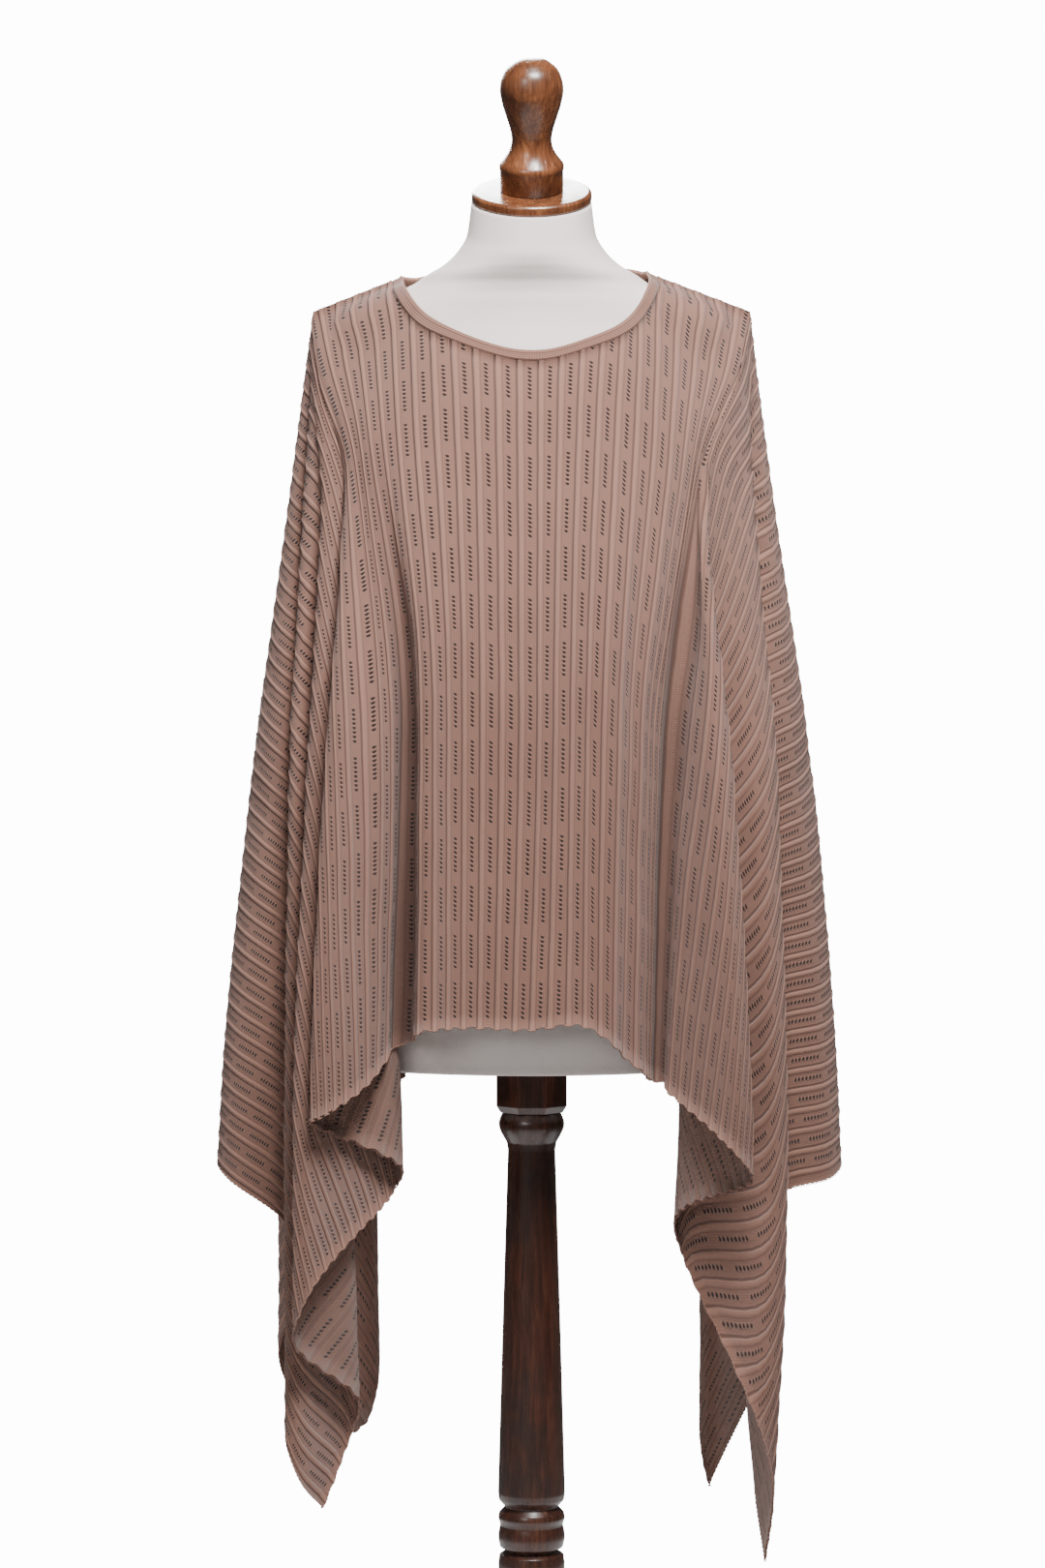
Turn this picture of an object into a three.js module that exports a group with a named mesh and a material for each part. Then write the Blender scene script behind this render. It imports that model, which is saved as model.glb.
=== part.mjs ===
// A knitted poncho sweater on a dress form with a turned wooden stand, in millimetres, +Z up.
// The wearer's front faces -Y and the origin is the centre of the stand's underside.
// The poncho is two rectangles sewn along the shoulders. Past each shoulder point the cloth hangs
// as a cone from that point, laid in folds. It is drawn from guides: each guide is a line down the
// cloth, such as the edge or the valley of one fold.
import * as THREE from 'three';

// Poncho, measured on the flat cloth: u runs out from the centre rib, v down from the shoulder seam.
const RIB_PITCH = 17;
const RIB_HEIGHT = 1.1;
const SHOULDER_RIB = 11;
const SHOULDER_U = SHOULDER_RIB * RIB_PITCH;
const SELVEDGE_U = SHOULDER_U + 731;
const LENGTH = 690;
const WALL = 2;
const SEAM_GAP = 0.4;
const BAND_WIDTH = 9;
const BAND_GAP = 0.45;
const SHOULDER = { x: 191, z: 1370 };
const NECK_RIB = 6.5;
const NECK = { halfWidth: NECK_RIB * RIB_PITCH, front: 116, back: 24 };
const CLEARANCE = 3;

// Dress form and stand.
const FORM_BOTTOM = 710;
const NECK_TILT = THREE.MathUtils.degToRad(21);
const PLATE = { radius: 52.5, thickness: 9, z: 1467 };
const FIT = 0.3;
const BASE = { radius: 190, height: 26 };
const BLOCK = { radius: 31, top: FORM_BOTTOM - FIT, bottom: 668 };
const BLOCK_SIDES = 8;
const POST_TOP = BLOCK.bottom - FIT;

// Cross-sections of the form: height, half width, depth to the front and to the back, centre in Y.
const FORM_SECTIONS = [
  { z: FORM_BOTTOM, half: 170, front: 110, back: 110, y: 0 },
  { z: 770, half: 176, front: 116, back: 116, y: 0 },
  { z: 870, half: 156, front: 104, back: 104, y: 0 },
  { z: 965, half: 126, front: 88, back: 84, y: 0 },
  { z: 1040, half: 136, front: 102, back: 90, y: 0 },
  { z: 1120, half: 152, front: 126, back: 100, y: 0 },
  { z: 1190, half: 160, front: 114, back: 104, y: 0 },
  { z: 1250, half: 167, front: 92, back: 98, y: 0 },
  { z: 1300, half: 174, front: 74, back: 82, y: 0 },
  { z: 1340, half: 180, front: 60, back: 64, y: 0 },
  { z: 1358, half: 176, front: 54, back: 56, y: 0 },
  { z: 1368, half: 166, front: 52, back: 54, y: 0 },
  { z: 1378, half: 144, front: 50, back: 53, y: -1 },
  { z: 1386, half: 124, front: 48, back: 50, y: -2 },
  { z: 1393, half: 105, front: 48, back: 50, y: -3 },
  { z: 1401, half: 93, front: 50, back: 52, y: -5 },
  { z: 1411, half: 77, front: 51, back: 52, y: -7 },
  { z: 1422, half: 66, front: 51, back: 51, y: -8 },
  { z: 1438, half: 57, front: 50, back: 50, y: -7 },
  { z: PLATE.z - FIT / Math.cos(NECK_TILT), half: 53, front: 49, back: 49, y: -3 },
];
const TILT_FROM = 1403;
const FORM_EASE = 0.6;

// Guides. The columns out and y give the plan place at each depth down the cloth from the shoulder,
// stretch how far the hanging knit has lengthened, and round how blunt a fold's turn is.
// A body guide is placed at the first five depths and a fold at the last five.
const DEPTHS = [0, 60, 165, 420, 700, 1010];
const body = (rib, top, out, y, stretch = 1) => ({ rib, top, out, y, stretch });
const fold = (name, round, stretch, angle, out, y) => ({ name, round, stretch, angle, out, y });

// Folds from the front centre round the side to the back centre. Angles are measured at the
// shoulder point on the flat cloth: 90 is the front rib through it, 0 the seam, -90 the back rib.
const RIGHT_SIDE = {
  front: [
    body(0, 1403, [1, 1, 1, 1, -6], [0, -50, -98, -143, -140], 1.005),
    body(3.4, 1412, [66, 64, 58, 48, 45], [0, -48, -96, -145, -143], 1.01),
    body(6.5, 1401, [109, 111, 107, 86, 80], [0, -45, -89, -135, -128], 1.025),
    body(8.4, 1387, [143, 142, 131, 98, 94], [0, -38, -84, -124, -112], 1.02),
    body(SHOULDER_RIB, SHOULDER.z, [191, 179, 144, 111, 103], [0, -34, -77, -111, -100], 1.01),
  ],
  folds: [
    fold('front edge', 6, 1.07, [86, 84, 79, 74, 72],
      [180, 147, 166, 180, 184], [-34, -81, -155, -190, -192]),
    fold('front valley', 6, 1.02, [80, 80, 66, 60, 55],
      [182, 153, 140, 131, 120], [-32, -75, -98, -92, -70]),
    fold('corner edge', 7, 1.085, [55, 45, 49, 50, 48],
      [189, 193, 207, 212, 194], [-22, -50, -112, -140, -150]),
    fold('side valley', 6, 1.085, [45, 41, 37, 35, 38],
      [190, 182, 168, 178, 206], [-16, -30, -30, -40, -44]),
    fold('sleeve inner edge', 5, 1, [38, 38, 28, 20, 24],
      [194, 193, 205, 208, 236], [-12, -32, -58, -56, -50]),
    fold('sleeve outer edge', 8, 1.012, [25, 30, 18, 12, 14],
      [197, 209, 242, 264, 274], [-8, -20, -34, -36, -30]),
    fold('shoulder seam', 0, 1, [0, 0, 0, 0, 0],
      [197, 208, 240, 254, 262], [2, 8, 52, 84, 96]),
    fold('back sleeve edge', 8, 1, [-16, -20, -16, -13, -13],
      [196, 206, 234, 242, 246], [8, 26, 108, 158, 170]),
    fold('back sleeve valley', 6, 1, [-24, -28, -27, -27, -27],
      [194, 192, 190, 196, 200], [14, 38, 84, 98, 100]),
    fold('back side edge', 7, 1.05, [-34, -38, -38, -38, -38],
      [192, 186, 202, 222, 226], [20, 52, 134, 190, 200]),
    fold('back corner valley', 7, 1.07, [-46, -46, -46, -46, -44],
      [189, 172, 160, 160, 160], [26, 62, 104, 126, 136]),
    fold('back corner edge', 7, 1.05, [-58, -58, -59, -60, -60],
      [186, 160, 176, 194, 196], [30, 74, 148, 200, 206]),
    fold('back valley', 6, 1, [-70, -70, -71, -72, -72],
      [182, 152, 136, 132, 130], [34, 79, 108, 116, 120]),
    fold('back edge', 7, 1, [-80, -80, -80, -80, -80],
      [180, 146, 154, 160, 162], [38, 88, 142, 176, 178]),
  ],
  back: [
    body(SHOULDER_RIB, SHOULDER.z, [191, 179, 141, 120, 112], [0, 40, 86, 112, 114]),
    body(8.5, 1386, [143, 140, 126, 104, 96], [0, 44, 92, 128, 132]),
    body(6.5, 1401, [109, 108, 100, 86, 79], [0, 48, 97, 128, 132]),
    body(0, 1410, [1, 1, 1, 1, 1], [44, 76, 100, 118, 122]),
  ],
};
const LEFT_SIDE = {
  front: [
    body(0, 1403, [-1, -1, -1, -1, 6], [0, -50, -98, -143, -140], 1.005),
    body(4.1, 1411, [80, 78, 73, 64, 65], [0, -48, -95, -144, -142], 1.01),
    body(6.5, 1397, [122, 118, 113, 92, 94], [0, -43, -90, -146, -150], 0.99),
    body(8.2, 1385, [148, 143, 133, 106, 112], [0, -39, -86, -131, -113], 0.985),
    body(SHOULDER_RIB, SHOULDER.z, [191, 179, 153, 131, 134], [0, -34, -78, -140, -152]),
  ],
  folds: [
    fold('front edge', 6, 1.035, [84, 84, 82, 81, 80],
      [184, 160, 172, 182, 184], [-32, -72, -152, -184, -186]),
    fold('front valley', 6, 1.05, [78, 78, 73, 70, 68],
      [185, 160, 138, 116, 112], [-30, -68, -100, -91, -88]),
    fold('tongue edge', 7, 1.04, [62, 60, 57, 55, 54],
      [188, 180, 188, 196, 197], [-26, -64, -118, -164, -166]),
    fold('tongue valley', 6, 1.035, [54, 53, 49, 47, 47],
      [190, 182, 172, 160, 152], [-22, -52, -82, -96, -60]),
    fold('corner edge', 6, 1.045, [44, 44, 41, 40, 40],
      [192, 198, 206, 207, 206], [-18, -42, -84, -118, -120]),
    fold('side valley', 6, 1, [38, 38, 31, 28, 32],
      [191, 184, 170, 176, 178], [-14, -27, -26, -34, -36]),
    fold('sleeve inner edge', 5, 1.012, [34, 34, 26, 22, 24],
      [194, 197, 208, 211, 214], [-11, -28, -56, -62, -60]),
    fold('sleeve outer edge', 8, 1.012, [24, 26, 17, 12, 12],
      [198, 210, 240, 267, 278], [-7, -16, -34, -40, -36]),
    fold('shoulder seam', 0, 1, [0, 0, 0, 0, 0],
      [198, 210, 244, 262, 268], [2, 8, 50, 80, 92]),
    fold('back sleeve edge', 8, 1, [-15, -18, -15, -13, -13],
      [197, 208, 238, 250, 252], [8, 24, 102, 150, 160]),
    fold('back sleeve valley', 6, 1, [-25, -28, -28, -29, -29],
      [194, 194, 194, 198, 200], [14, 38, 80, 92, 96]),
    fold('back side edge', 7, 1.03, [-36, -40, -40, -41, -41],
      [192, 188, 206, 226, 228], [20, 52, 130, 184, 196]),
    fold('back corner valley', 7, 1.05, [-48, -50, -50, -50, -46],
      [189, 172, 158, 148, 142], [26, 62, 102, 126, 150]),
    fold('back corner edge', 7, 1.03, [-62, -62, -62, -62, -62],
      [186, 158, 174, 190, 192], [30, 76, 150, 202, 208]),
    fold('back valley', 6, 1, [-74, -74, -74, -75, -75],
      [182, 152, 130, 118, 116], [34, 79, 108, 118, 122]),
  ],
  back: [
    body(SHOULDER_RIB, SHOULDER.z, [191, 179, 146, 140, 138], [0, 40, 88, 138, 166]),
    body(8.5, 1385, [151, 145, 130, 116, 112], [0, 44, 92, 130, 138]),
    body(6.5, 1397, [122, 118, 104, 92, 88], [0, 46, 96, 128, 132]),
    body(0, 1410, [-1, -1, -1, -1, -1], [44, 76, 100, 118, 122]),
  ],
};

// Interpolation. slopes() gives either smooth tangents or ones that never overshoot, and tangents
// that are level at both ends where the cloth runs on into its mirrored half.
function slopes(at, value, overshoot = false, level = false) {
  const last = at.length - 1;
  const chord = at.slice(1).map((a, i) => (value[i + 1] - value[i]) / (a - at[i]));
  return at.map((a, i) => {
    if (level && (i === 0 || i === last)) return 0;
    if (i === 0) return chord[0];
    if (i === last) return chord[last - 1];
    const before = at[i] - at[i - 1];
    const after = at[i + 1] - at[i];
    if (overshoot) return (chord[i - 1] * after + chord[i] * before) / (before + after);
    if (chord[i - 1] * chord[i] <= 0) return 0;
    return (2 * chord[i - 1] * chord[i]) / (chord[i - 1] + chord[i]);
  });
}

// The step of a table that holds a, and the shares its two ends and their slopes have there.
function within(at, a) {
  const x = Math.min(Math.max(a, at[0]), at[at.length - 1]);
  let i = 0;
  while (i < at.length - 2 && x > at[i + 1]) i += 1;
  const h = at[i + 1] - at[i];
  const t = (x - at[i]) / h;
  return { i, rise: t * t * (3 - 2 * t), lead: t * (1 - t) ** 2 * h, trail: t * t * (t - 1) * h };
}

function spline(at, value) {
  const slope = slopes(at, value);
  return (a) => {
    const { i, rise, lead, trail } = within(at, a);
    return value[i] + (value[i + 1] - value[i]) * rise + lead * slope[i] + trail * slope[i + 1];
  };
}

// A path through the knots of one section. Where a fast step meets a slow one, the slope is cut
// down on the slow side, so that the cloth never swings out past its knots.
const SLOPE_LIMIT = 1.6;

function path(at, points) {
  const axes = ['x', 'y', 'z'];
  const slope = points.map(() => new THREE.Vector3());
  axes.forEach((axis) => {
    const along = slopes(at, points.map((point) => point[axis]), true, axis !== 'x');
    slope.forEach((vector, i) => { vector[axis] = along[i]; });
  });
  const most = at.slice(1).map((a, i) => (
    (SLOPE_LIMIT * points[i + 1].distanceTo(points[i])) / (a - at[i])));
  return (s) => {
    const { i, rise, lead, trail } = within(at, s);
    const start = slope[i].clone().clampLength(0, most[i]);
    const end = slope[i + 1].clone().clampLength(0, most[i]);
    return points[i].clone().lerp(points[i + 1], rise)
      .addScaledVector(start, lead)
      .addScaledVector(end, trail);
  };
}

// The form, as a function of height, and how far a point stands outside it.
const column = (rows, key) => spline(rows.map((row) => row.z), rows.map((row) => row[key]));
const formHalf = column(FORM_SECTIONS, 'half');
const formFront = column(FORM_SECTIONS, 'front');
const formBack = column(FORM_SECTIONS, 'back');
const formY = column(FORM_SECTIONS, 'y');

function formLevel(p) {
  const y = p.y - formY(p.z);
  const depth = y < 0 ? formFront(p.z) : formBack(p.z);
  return Math.hypot(p.x / formHalf(p.z), y / depth) - 1;
}

function clearOfForm(p, gap) {
  const step = 0.5;
  for (let pass = 0; pass < 8; pass += 1) {
    const here = formLevel(p);
    const grad = new THREE.Vector3();
    for (const axis of ['x', 'y', 'z']) {
      const q = p.clone();
      q[axis] += step;
      grad[axis] = (formLevel(q) - here) / step;
    }
    const steep = grad.length();
    const away = here / steep;
    if (away >= gap || here < -0.5) return p;
    p.addScaledVector(grad, (gap - away) / steep);
  }
  return p;
}

// One side of the poncho, from the front centre (s = 0) through the shoulder rib (s = 1) and the
// folds (one whole step each) to the back centre.
const DRAPE_STEP = 10;
const STEEPEST_RUN = 0.95;
const TURN = 0.14;
const FULL_ROUND_DEPTH = 420;
const SEAM_FADE = 90;
const NORMAL_REACH = 3;
const NORMAL_TURN = 0.02;
const NORMAL_TOP = 8;
const HALVINGS = 40;

// The highest value from low up to which past() stays false.
function halve(low, high, past) {
  let [from, to] = [low, high];
  for (let i = 0; i < HALVINGS; i += 1) {
    const middle = (from + to) / 2;
    if (past(middle)) to = middle;
    else from = middle;
  }
  return from;
}

function guideLine(guide) {
  const inBody = guide.rib !== undefined;
  const depths = DEPTHS.slice(0, inBody ? -1 : undefined);
  const outs = inBody ? guide.out : [SHOULDER.x, ...guide.out];
  const ys = inBody ? guide.y : [0, ...guide.y];
  const out = spline(depths, outs);
  const y = spline(depths, ys);
  const angle = inBody ? null : spline(DEPTHS, [guide.angle[0], ...guide.angle]);
  const heights = [inBody ? guide.top : SHOULDER.z];
  for (let d = DRAPE_STEP; d <= DEPTHS.at(-1) + DRAPE_STEP; d += DRAPE_STEP) {
    const run = Math.hypot(out(d) - out(d - DRAPE_STEP), y(d) - y(d - DRAPE_STEP));
    const slant = DRAPE_STEP * guide.stretch;
    const fall = Math.sqrt(slant ** 2 - Math.min(run, STEEPEST_RUN * slant) ** 2);
    heights.push(heights[heights.length - 1] - fall);
  }
  const z = (d) => {
    const k = Math.min(Math.floor(d / DRAPE_STEP), heights.length - 2);
    return heights[k] + (heights[k + 1] - heights[k]) * (d / DRAPE_STEP - k);
  };
  return { out, y, z, angle, round: guide.round ?? 0 };
}

function makeSide(table, mirror) {
  const knots = [];
  const bodyKnot = (guide, s) => knots.push({ s, line: guideLine(guide), shift: 0 });
  table.front.forEach((guide) => bodyKnot(guide, guide.rib / SHOULDER_RIB));
  table.folds.forEach((guide, i) => {
    const line = guideLine(guide);
    const shifts = line.round ? [-1, 1] : [0];
    shifts.forEach((shift) => knots.push({ s: 2 + i + shift * TURN, line, shift, centre: 2 + i }));
  });
  const lastFold = 1 + table.folds.length;
  table.back.forEach((guide) => bodyKnot(guide, lastFold + 2 - guide.rib / SHOULDER_RIB));
  const seam = 2 + table.folds.findIndex((guide) => guide.name === 'shoulder seam');
  const end = lastFold + 2;
  const lines = [...table.front, ...table.folds, ...table.back].map(guideLine);
  const first = table.front.length - 2;
  const cache = new Map();

  const planPlace = (line, d) => new THREE.Vector2(line.out(d), line.y(d));

  // All knots at one depth, with each fold's edge widened into a turn.
  function section(d) {
    const key = Math.round(d * 100);
    if (cache.has(key)) return cache.get(key);
    const points = knots.map((knot) => {
      const here = planPlace(knot.line, d);
      if (knot.shift) {
        const i = first + knot.centre;
        const before = here.clone().sub(planPlace(lines[i - 1], d)).normalize();
        const after = planPlace(lines[i + 1], d).sub(here).normalize();
        const round = knot.line.round * Math.min(d / FULL_ROUND_DEPTH, 1) * knot.shift;
        here.addScaledVector(before.add(after).normalize(), round);
      }
      return new THREE.Vector3(here.x, here.y, knot.line.z(d));
    });
    const result = { point: path(knots.map((knot) => knot.s), points) };
    const angleAt = [1];
    const angles = [90];
    table.folds.forEach((guide, i) => {
      angleAt.push(2 + i);
      angles.push(lines[first + 2 + i].angle(d));
    });
    angleAt.push(lastFold + 1);
    angles.push(-90);
    result.angle = spline(angleAt, angles);
    cache.set(key, result);
    return result;
  }

  // Between the neck and the shoulder point both panels start from one straight seam line.
  const neckPoint = table.front.find((guide) => guide.rib === NECK_RIB);
  const seamShift = (s, d) => {
    const rib = Math.min(s, end - s) * SHOULDER_RIB;
    if (rib < NECK_RIB || rib > SHOULDER_RIB || d > SEAM_FADE) return new THREE.Vector3();
    const share = (rib - NECK_RIB) / (SHOULDER_RIB - NECK_RIB);
    const onSeam = new THREE.Vector3(neckPoint.out[0], 0, neckPoint.top)
      .lerp(new THREE.Vector3(SHOULDER.x, 0, SHOULDER.z), share);
    return onSeam.sub(section(0).point(s)).multiplyScalar((1 - d / SEAM_FADE) ** 2);
  };
  const middle = (s, d) => {
    const p = section(d).point(s).add(seamShift(s, d));
    p.x *= mirror;
    return clearOfForm(p, WALL / 2 + CLEARANCE);
  };
  const normal = (s, d) => {
    const deep = Math.max(d, NORMAL_TOP);
    const down = middle(s, deep + NORMAL_REACH).sub(middle(s, deep - NORMAL_REACH));
    const ahead = middle(Math.min(s + NORMAL_TURN, end), deep);
    const along = ahead.sub(middle(Math.max(s - NORMAL_TURN, 0), deep));
    return down.cross(along).multiplyScalar(mirror).normalize();
  };
  // Flat cloth coordinates: u from the centre rib, v from the shoulder seam.
  const flat = (s, d) => {
    if (s <= 1) return { u: s * SHOULDER_U, v: d };
    if (s >= end - 1) return { u: (end - s) * SHOULDER_U, v: d };
    const angle = THREE.MathUtils.degToRad(section(d).angle(s));
    return { u: SHOULDER_U + d * Math.cos(angle), v: d * Math.abs(Math.sin(angle)) };
  };
  const depthAtEdge = (s) => halve(0, DEPTHS.at(-1), (d) => {
    const at = flat(s, d);
    return at.v > LENGTH || at.u > SELVEDGE_U;
  });
  const depthAtU = (s, u, limit) => halve(0, limit, (d) => flat(s, d).u > u);
  const angle = (s, d) => section(d).angle(s);
  return { middle, normal, flat, angle, seam, end, depthAtEdge, depthAtU, hand: mirror };
}

const SIDES = { right: makeSide(RIGHT_SIDE, 1), left: makeSide(LEFT_SIDE, -1) };

// Ribs: ridges on the outside only. Past the shoulders every fourth rib is raised, where the ribs
// cross the folds.
const CROSSING_ANGLE = 72;
const CROSSING_PITCH = 4 * RIB_PITCH;

function ribLift(u, pitch) {
  const phase = Math.abs(u / pitch - Math.round(u / pitch));
  return RIB_HEIGHT * (1 - 2 * phase);
}

// The neck opening on the flat cloth: its depth below the shoulder seam, and points set in from it.
const NECK_POWER = 2.5;

function neckDepth(u, depth) {
  const share = Math.min(Math.abs(u) / NECK.halfWidth, 1);
  return depth * Math.sqrt(Math.max(1 - share ** NECK_POWER, 0)) + SEAM_GAP / 2;
}

function neckInset(u, depth, inset) {
  const v = neckDepth(u, depth);
  const share = Math.abs(u) / NECK.halfWidth;
  const root = Math.sqrt(Math.max(1 - share ** NECK_POWER, 1e-6));
  const slope = (depth * NECK_POWER * share ** (NECK_POWER - 1)) / (2 * root * NECK.halfWidth);
  const length = Math.hypot(slope, 1);
  return { u: u - (Math.sign(u) * slope * inset) / length, v: Math.max(v - inset / length, 0) };
}

const HALF_RIB = RIB_PITCH / 2;
const NECK_COLUMNS = [NECK.halfWidth - 3, NECK.halfWidth - 0.7];
const BODY_COLUMNS = Array.from({ length: Math.floor(SHOULDER_U / HALF_RIB) + 1 }, (_, i) => i * HALF_RIB)
  .concat(NECK_COLUMNS)
  .sort((a, b) => a - b);
const BODY_ROWS = [0, 0.018, 0.038, 0.062, 0.092, 0.13, 0.185, 0.27, 0.38, 0.58, 0.79, 1];
const FOLD_ROWS = [28, 70, 125, 190, 290, 420, 570, 720, 870];
const FOLD_COLUMNS = [TURN, 1 - TURN, 1];
const EDGE_ROOM = 25;
const PLAIN_ROOM = 45;
const FIRST_CROSSING = 140;
const SELVEDGE_ROOM = 5;

// A wall built from columns that run down the cloth. Each column has its own number of points on
// the outside and on the inside, and neighbouring columns are joined point by point.
class Wall {
  constructor() {
    this.positions = [];
    this.triangles = [];
  }

  point(p) {
    this.positions.push(p.x, p.y, p.z);
    return this.positions.length / 3 - 1;
  }

  face(a, b, c, flip) {
    if (a === b || b === c || a === c) return;
    this.triangles.push(...(flip ? [a, c, b] : [a, b, c]));
  }

  join(a, b, key, flip) {
    let i = 0;
    let j = 0;
    while (i < a.length - 1 || j < b.length - 1) {
      const takeA = j === b.length - 1 || (i < a.length - 1 && a[i + 1][key] <= b[j + 1][key]);
      const third = takeA ? a[i + 1] : b[j + 1];
      this.face(a[i].id, b[j].id, third.id, flip);
      if (takeA) i += 1;
      else j += 1;
    }
  }

  geometry() {
    const geometry = new THREE.BufferGeometry();
    geometry.setAttribute('position', new THREE.Float32BufferAttribute(this.positions, 3));
    geometry.setIndex(this.triangles);
    geometry.computeVertexNormals();
    return geometry;
  }
}

// The direction across the wall where the two panels meet at the shoulder seam.
function seamNormal(side, u) {
  const s = Math.min(u / SHOULDER_U, 1);
  const front = side.normal(s, NORMAL_TOP);
  return front.add(side.normal(side.end - s, NORMAL_TOP)).normalize();
}

// A column of the body panel, straight down one line of the knitting.
function bodyColumn(side, front, u, wall, apex) {
  const s = front ? u / SHOULDER_U : side.end - u / SHOULDER_U;
  const top = neckDepth(u, front ? NECK.front : NECK.back);
  const rows = BODY_ROWS.map((share) => {
    const d = top + (LENGTH - top) * share;
    const p = side.middle(s, d);
    const n = d < SEAM_GAP ? seamNormal(side, u) : side.normal(s, d);
    const lift = WALL / 2 + ribLift(u, RIB_PITCH);
    const outer = wall.point(p.clone().addScaledVector(n, lift));
    const inner = wall.point(p.clone().addScaledVector(n, -WALL / 2));
    return { outer: { id: outer, share, u }, inner: { id: inner, share, u } };
  });
  const column = { outer: rows.map((row) => row.outer), inner: rows.map((row) => row.inner) };
  if (apex) {
    column.outer[0] = apex.outer;
    column.inner[0] = apex.inner;
  }
  return column;
}

// A column in the folds, from the shoulder point to the hem or the selvedge. The one along the
// shoulder seam is set back by half the gap there.
function foldColumn(side, s, wall, apex, seamward) {
  const limit = side.depthAtEdge(s);
  const place = (d, offset) => {
    const p = side.middle(s, d);
    const n = side.normal(s, d);
    if (seamward) {
      const ahead = side.middle(s, d + NORMAL_REACH);
      const along = ahead.sub(side.middle(s, d - NORMAL_REACH)).normalize();
      p.addScaledVector(n.clone().cross(along), -seamward * side.hand * SEAM_GAP);
    }
    return wall.point(p.addScaledVector(n, offset));
  };
  const plain = FOLD_ROWS.filter((d) => d < limit - EDGE_ROOM);
  const crossing = Math.abs(side.angle(s, limit)) < CROSSING_ANGLE;
  const depths = crossing ? ribCrossings(side, s, limit) : [];
  plain.forEach((d) => {
    if (depths.every((other) => Math.abs(other - d) > PLAIN_ROOM)) depths.push(d);
  });
  depths.push(limit);
  depths.sort((a, b) => a - b);
  const row = (offset) => (d) => {
    const { u } = side.flat(s, d);
    return { id: place(d, offset(u)), share: d / limit, u: d < FIRST_CROSSING ? d - LENGTH : u };
  };
  const lift = (u) => (crossing ? ribLift(u, CROSSING_PITCH) : RIB_HEIGHT / 2);
  return {
    outer: [apex.outer, ...depths.map(row((u) => WALL / 2 + lift(u)))],
    inner: [apex.inner, ...depths.map(row(() => -WALL / 2))],
    crossing,
  };
}

// The depths at which the line at s crosses the raised ribs and the places halfway between them.
function ribCrossings(side, s, limit) {
  const depths = [];
  const half = CROSSING_PITCH / 2;
  const last = side.flat(s, limit).u - SELVEDGE_ROOM;
  for (let u = Math.ceil(SHOULDER_U / half) * half; u < last; u += half) {
    const d = side.depthAtU(s, u, limit);
    if (d > FIRST_CROSSING) depths.push(d);
  }
  return depths;
}

// The step, counted from the centre, whose column ends in the corner of the hem and the selvedge.
function cornerStep(side, place, folds) {
  return halve(1, folds + 1, (step) => {
    const s = place(step);
    return side.flat(s, side.depthAtEdge(s)).u > SELVEDGE_U - 0.01;
  });
}

// One side's share of a panel, from the centre outwards.
function panelColumns(side, front, wall) {
  const s = front ? 1 : side.end - 1;
  const p = side.middle(s, SEAM_GAP / 2);
  const n = seamNormal(side, SHOULDER_U);
  const start = (offset) => {
    const id = wall.point(p.clone().addScaledVector(n, offset));
    return { id, share: 0, u: -LENGTH };
  };
  const apex = { outer: start(WALL / 2 + RIB_HEIGHT / 2), inner: start(-WALL / 2) };
  const columns = BODY_COLUMNS.map((u) => bodyColumn(side, front, u, wall));
  columns.push(bodyColumn(side, front, SHOULDER_U, wall, apex));
  const place = (step) => (front ? step : side.end - step);
  const folds = front ? side.seam - 1 : side.end - 1 - side.seam;
  const steps = [cornerStep(side, place, folds)];
  for (let k = 1; k <= folds; k += 1) steps.push(...FOLD_COLUMNS.map((share) => k + share));
  steps.sort((a, b) => a - b);
  steps.forEach((step) => {
    const seamward = step === folds + 1 ? (front ? 1 : -1) : 0;
    columns.push(foldColumn(side, place(step), wall, apex, seamward));
  });
  return columns;
}

function panelGeometry(front) {
  const wall = new Wall();
  const left = panelColumns(SIDES.left, front, wall);
  const right = panelColumns(SIDES.right, front, wall);
  const columns = [...left.slice(1).reverse(), ...right];
  const flip = front;
  const last = columns.length - 1;
  for (let i = 0; i < last; i += 1) {
    const [a, b] = [columns[i], columns[i + 1]];
    const key = a.crossing && b.crossing ? 'u' : 'share';
    wall.join(a.outer, b.outer, key, flip);
    wall.join(a.inner, b.inner, key, !flip);
    const [outA, outB, inA, inB] = [a.outer[0], b.outer[0], a.inner[0], b.inner[0]];
    wall.join([inA, inB], [outA, outB], 'share', !flip);
    const ends = [a.outer.at(-1), b.outer.at(-1), a.inner.at(-1), b.inner.at(-1)];
    wall.join([ends[0], ends[1]], [ends[2], ends[3]], 'share', !flip);
  }
  wall.join(columns[0].inner, columns[0].outer, 'share', flip);
  wall.join(columns[last].outer, columns[last].inner, 'share', flip);
  return wall.geometry();
}

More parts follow.
